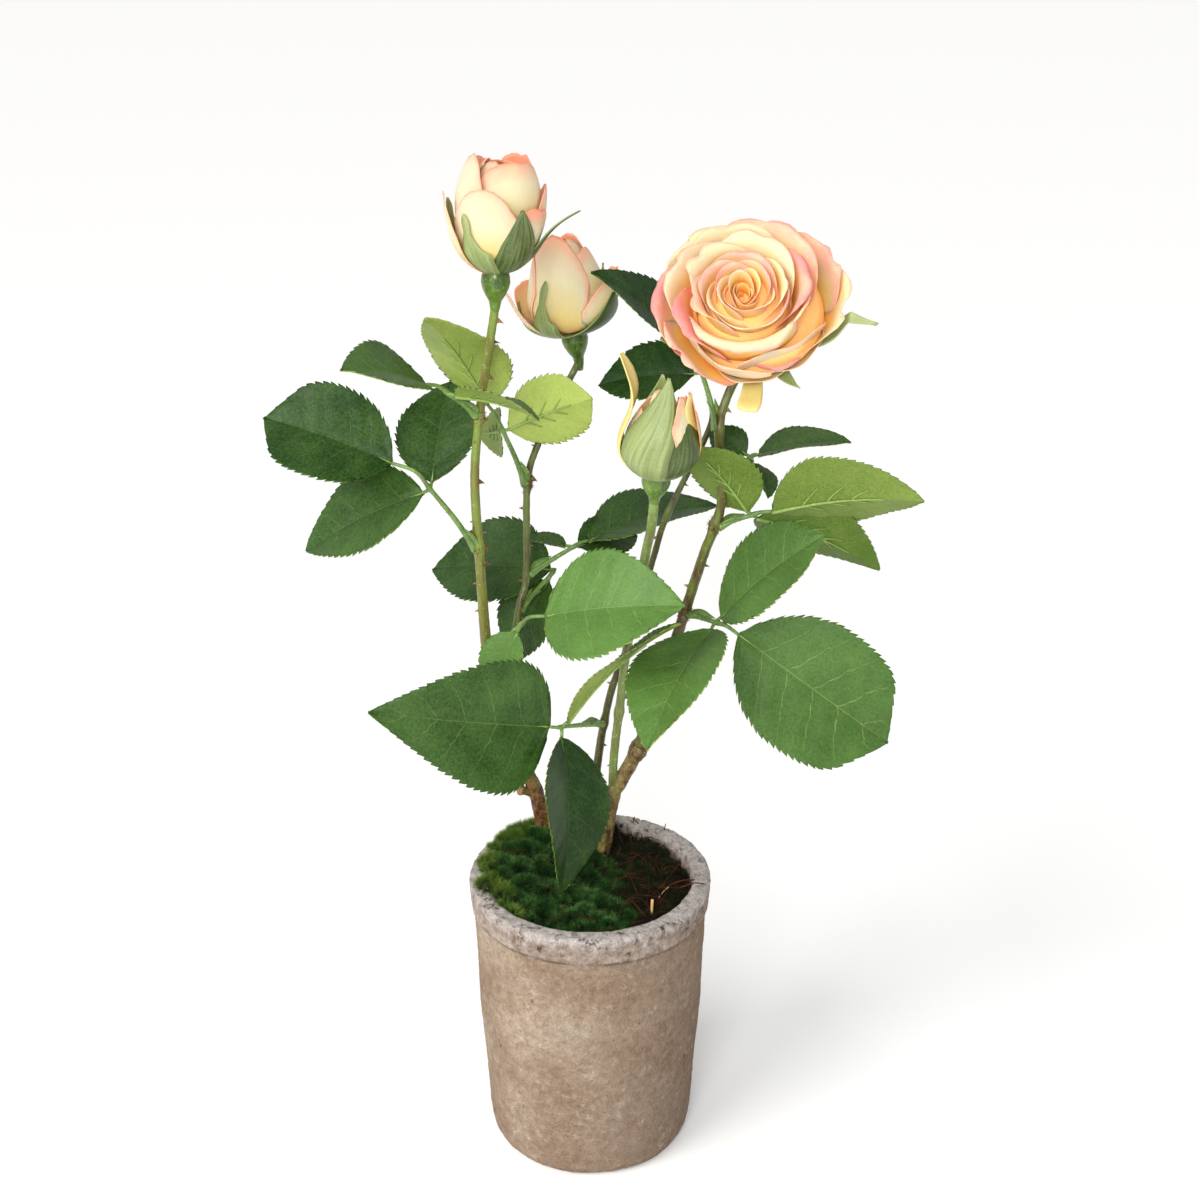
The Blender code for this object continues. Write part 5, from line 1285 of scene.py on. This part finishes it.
def make_stems():
    """Both trunks and the five canes."""
    left, right = ROUTES["left"], ROUTES["right"]
    left_top, right_top = left.at_height(LEFT_TRUNK_TOP), right.at_height(RIGHT_TRUNK_TOP)
    stem_piece("left_trunk", "left", 0, left_top, BARK_BROWN, 0.45, add_stub)
    stem_piece("cane_left", "left", left_top, left.length, CANE_LEFT, 0.07)
    stem_piece("cane_left_back", "left_back", 0, ROUTES["left_back"].length, CANE_LEFT_BACK, 0.07)
    stem_piece("right_trunk", "right", 0, right_top, BARK_TAN, 0.34)
    stem_piece("cane_right", "right", right_top, right.length, CANE_RIGHT, 0.09)
    stem_piece("cane_middle", "middle", 0, ROUTES["middle"].length, CANE_MIDDLE, 0.06)
    stem_piece("cane_right_back", "right_back", 0, ROUTES["right_back"].length, CANE_RIGHT_BACK, 0.07)


def make_thorns():
    """The thorns of every cane, hooked slightly down, in one piece."""
    mesh = bpy.data.meshes.new("thorn")
    points = []
    for height, radius, hook in THORN_RINGS:
        for k in range(THORN_SIDES):
            angle = 2 * math.pi * k / THORN_SIDES
            points.append((hook + radius * 1.3 * math.cos(angle), radius * 0.8 * math.sin(angle), height))
    points += [(0, 0, -0.1), (-0.26, 0, 1.0)]
    faces = closed_faces(len(THORN_RINGS), THORN_SIDES)
    mesh.from_pydata([tuple(Vector(p) * MM) for p in points], [], faces)
    thorn = bpy.data.objects.new("thorn", mesh)
    bpy.context.scene.collection.objects.link(thorn)
    feet, aims, sizes = [], [], []
    for stem, height, heading, length in THORNS:
        distance = ROUTES[stem].at_height(height)
        tangent = Vector(ROUTES[stem].heading(distance))
        out = direction(heading, 0)
        out = (out - out.dot(tangent) * tangent).normalized()
        foot = Vector(ROUTES[stem].at(distance)) + out * (stem_radius(stem, distance) - 0.25)
        feet.append(foot)
        aims.append(out - tangent * 0.12)
        sizes.append(length)
    scatter("thorns", feet, aims, sizes, thorn, 0.1, 4, THORN)
    drop(thorn)


def make_fuzz():
    """The short red-brown bristles that stand round the larger nodes."""
    chance = random.Random(FUZZ_SEED)
    tuft = bristle_tuft("fuzz_tuft", 5, 1.7, 0.11, 45, 0.2, 8)
    feet, aims, sizes = [], [], []
    for stem, height in FUZZ_NODES:
        middle = ROUTES[stem].at_height(height)
        for _ in range(FUZZ_BRISTLES):
            distance = middle + chance.gauss(0, 1.8)
            tangent = Vector(ROUTES[stem].heading(distance))
            out = direction(chance.uniform(0, 360), 0)
            out = (out - out.dot(tangent) * tangent).normalized()
            feet.append(Vector(ROUTES[stem].at(distance)) + out * (stem_radius(stem, distance) - 0.1))
            aims.append(out + tangent * chance.uniform(-0.5, 0.5))
            sizes.append(chance.uniform(0.7, 1.2))
    finish = dyed_moss("red_brown_fuzz", "#4a2a16", "#9a6a40")
    scatter("node_fuzz", feet, aims, sizes, tuft, 0.2, 6, finish)
    drop(tuft)


# --- leaves ------------------------------------------------------------------------------------------
# Where the columns of a leaflet's grid stand, from its edge to its midrib, as shares of its half width.
HALF_COLUMNS = [1, 0.93, 0.8, 0.66, 0.52, 0.38, 0.24, 0.12, 0.04, 0]
RIB_SHARES = (0.0, 0.15, 0.3, 0.45, 0.6, 0.74)
SIDE_RIBS = [(0.20, 0.34), (0.36, 0.30), (0.52, 0.24)]     # where a pair leaves the rib, and its reach
STIPULE_ROWS = 9
PRICKLES = 7

Blade = namedtuple("Blade", "length width shape wave phase")


def blade_half(blade, share):
    """Half width of a leaflet at a share of its length."""
    return np.maximum(np.interp(share, *zip(*blade.shape)) * blade.width / 2, 0.25)


def blade_place(blade, share, side, half):
    """A point of a leaflet's sheet: arched along, folded up from its midrib, waved at its edge."""
    arch, fold = math.radians(BLADE_ARCH), math.radians(BLADE_FOLD)
    bend = blade.length / (2 * math.sin(arch / 2))
    turn = arch * (share - 0.5)
    reach = np.abs(side)
    lift = half * np.sin(fold) * reach ** 1.15
    lift += blade.wave * np.sin(share * 9.5 + blade.phase + np.sign(side) * 0.9) * reach ** 2
    rank = (share - VEIN_SWEEP * reach ** 1.25) * VEIN_PAIRS + 0.15 * np.sin(share * 17 + blade.phase * 3)
    swell = (0.5 - 0.5 * np.cos(2 * np.pi * rank)) * reach ** 0.5 * (1 - reach ** 4)
    lift += LEAF_PUFF * blade.length * swell
    lift -= RIB_GROOVE * np.exp(-(reach * half / 1.3) ** 2)
    x = blade.length / 2 + bend * np.sin(turn) + lift * np.sin(turn)
    z = bend * (np.cos(turn) - math.cos(arch / 2)) + lift * np.cos(turn)
    return np.stack([x, side * half * np.cos(fold), z], -1)


def blade_grid(blade, chance):
    """The points of a leaflet, row by row from its foot, with a saw-toothed edge."""
    teeth = max(8, round(blade.length / TOOTH_PITCH))
    pitch = 1 / (teeth + 0.6)
    rows = [(0.0, 0.0, 0.0)]
    for tooth in range(teeth):
        foot = (tooth + 0.35) * pitch
        size = chance.uniform(0.7, 1.15)
        rows += [(foot, size, 0.0), (foot + 0.45 * pitch, 0.45 * size, 0.12),
                 (foot + 0.84 * pitch, 0.0, 0.36)]
    rows.append((1.0, 0.0, 0.0))
    share, cut, lean = (np.array(column)[:, None] for column in zip(*rows))
    columns = np.array(HALF_COLUMNS + [-column for column in HALF_COLUMNS[-2::-1]])[None, :]
    outer = np.abs(columns) > 0.99
    ahead = np.minimum(np.where(outer, share + lean * pitch, share), 1.0)
    half = blade_half(blade, ahead)
    depth = np.minimum(TOOTH_DEPTH, 0.10 * half + 0.05)
    side = np.where(outer, columns * (1 - cut * depth / half), columns)
    return blade_place(blade, ahead, side, half)


def add_leaflet(skin, leaflet, stand, chance):
    """A leaflet: toothed cloth with a moulded rib and short side ribs stuck under it."""
    length = leaflet.length
    blade = Blade(length, leaflet.width, leaflet.shape, LEAF_WAVE * length, chance.uniform(0, 6))
    piece = Skin()
    add_plate(piece, blade_grid(blade, chance), LEAF_CLOTH, (0, 1), leaflet.tint, chance.uniform(0, 1))
    below = Vector((0, 0, -LEAF_CLOTH))

    def spot(share, side):
        """A point just under the sheet."""
        local = float(blade_half(blade, share))
        return Vector(blade_place(blade, np.float64(share), np.float64(side), local)) + below

    spine = [spot(share, 0.0) + below * min(share * 6, 0.9) for share in RIB_SHARES]
    add_stalk(piece, spine, PETIOLE_TIP_RADIUS * 1.1, 0.3, 3, sides=7)
    for share, reach in SIDE_RIBS:
        for side in (-1, 1):
            points = [spot(share, 0.0), spot(share + 0.06, side * reach * 0.5),
                      spot(share + 0.13, side * reach)]
            add_stalk(piece, [point + below * 0.6 for point in points], 0.55, 0.18, 3, sides=6)
    piece.move(stand)
    skin.join(piece)


def petiole_radius(station, length, node):
    """A petiole's radius: an even taper, swollen where it leaves the cane and at its node."""
    taper = (PETIOLE_FOOT_RADIUS - PETIOLE_TIP_RADIUS) * (1 - station / length)
    return (PETIOLE_TIP_RADIUS + taper + 0.8 * math.exp(-(station / 4.0) ** 2)
            + 0.35 * math.exp(-((station - node) / 2.0) ** 2))


def make_leaf(name, leaf, seed):
    """One compound leaf: petiole with stipules and prickles, stalks and leaflets."""
    chance = random.Random(seed)
    route = ROUTES[leaf.stem]
    distance = route.at_height(leaf.height)
    start = Vector(route.at(distance))
    along = direction(leaf.heading, leaf.rise)
    tangent = Vector(route.heading(distance))
    out = (along - along.dot(tangent) * tangent).normalized()
    foot = start + out * (stem_radius(leaf.stem, distance) * 0.6)
    node = start + along * leaf.petiole
    skin = Skin()
    for order, leaflet in enumerate(leaf.leaflets):
        stalk = leaflet.stalk
        ahead = direction(leaflet.heading, leaflet.rise)
        if order == 0:
            bend = node + along * stalk / 2
            base = bend + ahead * stalk / 2
            petiole = Route([foot, start.lerp(node, 0.5), node, bend, base])
            stations = np.linspace(0, petiole.length, int(petiole.length / 1.5) + 3)
            radii = [petiole_radius(station, petiole.length, leaf.petiole) for station in stations]
            add_tube(skin, petiole.at(stations), petiole.heading(stations), radii, 10, 2)
            add_stipules(skin, petiole, chance)
        else:
            base = node + ahead * stalk
            add_stalk(skin, [node, base], PETIOLE_TIP_RADIUS * 1.2, PETIOLE_TIP_RADIUS, 2, pitch=1.0)
        turn = Euler([math.radians(a) for a in (leaflet.roll, -leaflet.rise, leaflet.heading)], "XYZ")
        add_leaflet(skin, leaflet, Matrix.Translation(base) @ turn.to_matrix().to_4x4(), chance)
    make_piece("dressed_" + name, skin, [LEAF_TOP, LEAF_UNDER, STALK, RIB], [name])


def add_stipules(skin, petiole, chance):
    """A pair of small wings along the petiole's foot, each ending in a free point, and a few prickles."""
    tangent = Vector(petiole.heading(4.0))
    across = tangent.cross(Vector((0, 0, 1))).normalized()
    up = across.cross(tangent)
    reach = min(13.0, petiole.length * 0.45)
    for side in (-1, 1):
        rows = []
        for share in np.linspace(0, 1, STIPULE_ROWS):
            middle = Vector(petiole.at(1.5 + reach * share))
            width = 1.5 + 1.0 * math.sin(math.pi * min(share * 1.3, 1.0))
            flare = across * side * (0.8 + 2.2 * max(share - 0.6, 0.0) * 2.5)
            tip = 1.0 if share < 0.7 else (1 - share) / 0.3 * 0.9 + 0.1
            inner = middle + flare * 0.9 + up * 0.5
            rows.append([inner, inner + (across * side + up * 0.6) * width * tip * 0.5,
                         inner + (across * side + up * 0.9) * width * tip])
        grid = np.array([[tuple(p) for p in row] for row in rows])
        if side < 0:
            grid = grid[:, ::-1]
        add_plate(skin, grid, 0.35, (2, 2))
    for _ in range(PRICKLES):
        distance = petiole.length * chance.uniform(0.1, 0.55)
        out = (across * chance.uniform(-1, 1) - up).normalized()
        start = Vector(petiole.at(distance)) + out * 0.7
        add_stalk(skin, [start, start + out * 1.1 - tangent * 0.2], 0.28, 0.06, 2, sides=4, pitch=1.0)


# --- flowers -----------------------------------------------------------------------------------------
PETAL_ROWS = 22
PETAL_COLUMNS = 25
SEPAL_ROWS = 25
SEPAL_COLUMNS = 9
FIRST_FLOWER_SEED = 40


class Outline:
    """A flower's side view: a smooth curve of (radius, height) from its foot to its lip."""

    def __init__(self, points):
        self.route = Route([(radius, 0.0, height) for radius, height in points])

    def at(self, share, offset):
        """Radii and heights at shares of the curve, moved out square to it."""
        distance = share * self.route.length
        inside = np.minimum(distance, self.route.length)
        tangent = self.route.heading(inside)
        point = self.route.at(inside) + tangent * (distance - inside)[..., None]
        return point[..., 0] + tangent[..., 2] * offset, point[..., 2] - tangent[..., 0] * offset


def flower_frame(stem):
    """Where a flower stands: at its stem's tip, facing along it."""
    route = ROUTES[stem]
    facing = Vector(route.heading(route.length))
    tip = Vector(route.at(route.length)) + facing * 0.3
    side = Vector((1, 0, 0))
    side = (side - side.dot(facing) * facing).normalized()
    turn = Matrix((side, facing.cross(side), facing)).transposed()
    return Matrix.Translation(tip) @ turn.to_4x4()


def petal_width(share):
    """Half width of a petal: narrow at its foot, broad from its middle on."""
    return 0.35 + 0.65 * np.minimum(1.0, share * 1.7) ** 0.7


def add_petal(skin, outline, petal, slots, chance, waves):
    """A petal of cut cloth wrapped round the flower's axis, its lip waved, notched and a little frayed."""
    side = np.linspace(-1, 1, PETAL_COLUMNS)[None, :]
    share = (np.linspace(0, 1, PETAL_ROWS) ** 0.75)[:, None]
    fray = np.array([chance.uniform(-0.007, 0.007) for _ in range(PETAL_COLUMNS)])[None, :]
    notch = chance.uniform(0.0, 0.05)
    middle = chance.uniform(-0.25, 0.25)
    lip = 1 - petal.droop * np.abs(side) ** petal.bow - notch * np.exp(-((side - middle) / 0.16) ** 2) + fray
    climbed = share * lip
    phase = chance.uniform(0, 6.28)
    wave = waves * np.sin(side * 3.4 + phase) * share ** 3
    wave = wave + 0.35 * waves * np.sin(side * 8 + phase * 2) * share ** 6
    radius, height = outline.at(climbed * petal.reach, petal.offset + wave + petal.flare * share ** 3)
    radius = np.maximum(radius + petal.twist * side + petal.hollow * side ** 2, 0.4)
    spread = side * petal_width(climbed) * petal.width / 2 / np.maximum(radius, petal.width * 0.2)
    angle = math.radians(petal.heading) + spread
    grid = np.stack([radius * np.cos(angle), radius * np.sin(angle), height], -1)
    add_plate(skin, grid, PETAL_CLOTH, slots, petal.tint + chance.uniform(-0.04, 0.04),
              petal.blush * chance.uniform(0.7, 1.3))


def add_sepal(skin, outline, sepal, clear, slots, chance):
    """A sepal of stiff painted cloth, lying outside the petals and flaring at its tip."""
    share = np.linspace(0, 1, SEPAL_ROWS)[:, None]
    side = np.linspace(-1, 1, SEPAL_COLUMNS)[None, :]
    width = np.interp(share, *zip(*sepal.shape)) * sepal.width / 2
    radius, height = outline.at(share * sepal.reach + 0 * side, clear + sepal.flare * share ** 5)
    radius = np.maximum(radius + 0.5 * side - 0.5 * side ** 2, 0.3)
    spread = side * width / np.maximum(radius, sepal.width * 0.2)
    curl = math.radians(sepal.curl + chance.uniform(-4, 4)) * share ** 2
    angle = math.radians(sepal.heading) + spread + curl
    grid = np.stack([radius * np.cos(angle), radius * np.sin(angle), height], -1)
    add_plate(skin, grid, SEPAL_CLOTH, slots, sepal.tint)


def hip_outline(top, wide):
    """The side view of a hip: a thin neck round the cane's tip, and an urn under the sepals."""
    neck = [(0, -10.5), (1.3, -10.5), (2.2, -7.0)]
    urn = [(0.46, -3.6), (0.74, -0.8), (0.96, top * 0.20), (1.06, top * 0.45), (1.02, top * 0.70),
           (0.84, top + 0.4), (0, top + 0.4)]
    return neck + [(wide * share, height) for share, height in urn]


def make_flower(name, flower, seed):
    """One flower: its hip and sepals, and its petals ring by ring, round a core or the rose's pads."""
    chance = random.Random(seed)
    stand = flower_frame(flower.stem)
    rise = Matrix.Translation((0, 0, flower.hip_height + 0.3))
    calyx = Skin()
    outer = Outline(flower.cup)
    for sepal in flower.sepals:
        slots = (3, 3) if sepal.tint > GOLDEN else (0, 1)
        add_sepal(calyx, outer, sepal, flower.clear, slots, chance)
    calyx.move(rise)
    add_lathe(calyx, refine(hip_outline(flower.hip_height, flower.hip_radius), 0.8), 40, 2)
    calyx.move(stand)
    make_piece("dressed_" + name + "_calyx", calyx, [SEPAL_GREEN, SEPAL_PALE, HIP, SEPAL_TAN],
               [name + "_calyx"])
    cloths = [PETAL_INNER, PETAL_OUTER, WADDING] if name == "rose" else [BUD_PETAL]
    petals = Skin()
    for number, ring in enumerate(flower.rings):
        outline, gathered = Outline(ring.outline), Skin()
        for petal in ring.petals:
            slots = (1, 0) if name == "rose" and ring.shift < 0.5 else (0, 0)
            waves = max(0.55, 1.3 - 0.1 * number) if name == "rose" else 0.45
            add_petal(gathered, outline, petal, slots, chance, waves)
        shift = Matrix.Translation((flower.shift[0] * ring.shift, flower.shift[1] * ring.shift, 0))
        gathered.move(shift @ Matrix.Diagonal((ring.squeeze, 1, 1, 1)))
        petals.join(gathered)
    if name == "rose":
        for share, outline in ROSE_PADS:
            pad = Skin()
            add_lathe(pad, refine(outline, 1.2), 60, 2)
            pad.move(Matrix.Translation((flower.shift[0] * share, flower.shift[1] * share, 0)))
            petals.join(pad)
    else:
        shares = np.linspace(0.0, 0.8, 14)
        radii, heights = Outline(flower.rings[-1].outline).at(shares, 0.0 * shares)
        core = [(0, 0.0)] + [(max(r * 0.62, 1.0), h) for r, h in zip(radii, heights)] + [(0, heights[-1])]
        add_lathe(petals, core, 32, 0)
    petals.move(stand @ rise)
    make_piece("dressed_" + name + "_petals", petals, cloths, [name + "_petals"])


# --- the whole ---------------------------------------------------------------------------------------
make_pot()
make_moss()
make_fibres()
make_stems()
make_thorns()
make_fuzz()
for number, (leaf_name, one_leaf) in enumerate(LEAVES.items()):
    make_leaf(leaf_name, one_leaf, number)
for number, (flower_name, one_flower) in enumerate(FLOWERS.items()):
    make_flower(flower_name, one_flower, FIRST_FLOWER_SEED + number)

# --- stage, in metres --------------------------------------------------------------------------------
FLOOR_REACH = 15
WORLD_STRENGTH = 0.62
CAMERA_PLACE = (0.0047, -0.8539, 0.6813)
CAMERA_DIP = 24.19             # degrees below the horizon
CAMERA_LENS = 60.0             # mm, on a sensor of the next width
CAMERA_SENSOR = 36.0

floor_mesh = bpy.data.meshes.new("floor")
floor_mesh.from_pydata([(-FLOOR_REACH, -FLOOR_REACH, 0), (FLOOR_REACH, -FLOOR_REACH, 0),
                        (FLOOR_REACH, FLOOR_REACH, 0), (-FLOOR_REACH, FLOOR_REACH, 0)], [], [(0, 1, 2, 3)])
floor = bpy.data.objects.new("floor", floor_mesh)
bpy.context.scene.collection.objects.link(floor)
paper, paper_tree = new_material("pale_paper_floor")
close_material(paper_tree, add(paper_tree, "ShaderNodeBsdfPrincipled", {
    "Base Color": colour("#fafafa"), "Roughness": 0.9}))
floor_mesh.materials.append(paper)

world = bpy.data.worlds.new("studio")
world.use_nodes = True
world.node_tree.nodes["Background"].inputs["Color"].default_value = colour("#ffffff")
world.node_tree.nodes["Background"].inputs["Strength"].default_value = WORLD_STRENGTH
bpy.context.scene.world = world
bpy.context.scene.view_settings.view_transform = "Standard"


def soft_light(name, place, target, size, power, tone):
    """A square soft box that faces a point."""
    data = bpy.data.lights.new(name, "AREA")
    data.size = size
    data.energy = power
    data.color = colour(tone)[:3]
    light = bpy.data.objects.new(name, data)
    light.location = place
    light.rotation_euler = (Vector(target) - Vector(place)).to_track_quat("-Z", "Y").to_euler()
    bpy.context.scene.collection.objects.link(light)


def far_light(name, towards, strength, width, tone):
    """A broad distant light that shines from a direction, evenly over the whole floor."""
    data = bpy.data.lights.new(name, "SUN")
    data.energy = strength
    data.angle = math.radians(width)
    data.color = colour(tone)[:3]
    light = bpy.data.objects.new(name, data)
    light.rotation_euler = (-Vector(towards)).to_track_quat("-Z", "Y").to_euler()
    bpy.context.scene.collection.objects.link(light)


far_light("key", towards=(-0.90, -0.66, 0.85), strength=2.05, width=36.0, tone="#fffdf9")
soft_light("front", place=(-0.22, -1.7, 1.12), target=(0, 0, 0.30), size=0.7, power=23.0, tone="#ffffff")

camera_data = bpy.data.cameras.new("camera")
camera_data.lens = CAMERA_LENS
camera_data.sensor_width = CAMERA_SENSOR
camera = bpy.data.objects.new("camera", camera_data)
camera.location = CAMERA_PLACE
camera.rotation_euler = (math.radians(90 - CAMERA_DIP), 0, 0)
bpy.context.scene.collection.objects.link(camera)
bpy.context.scene.camera = camera
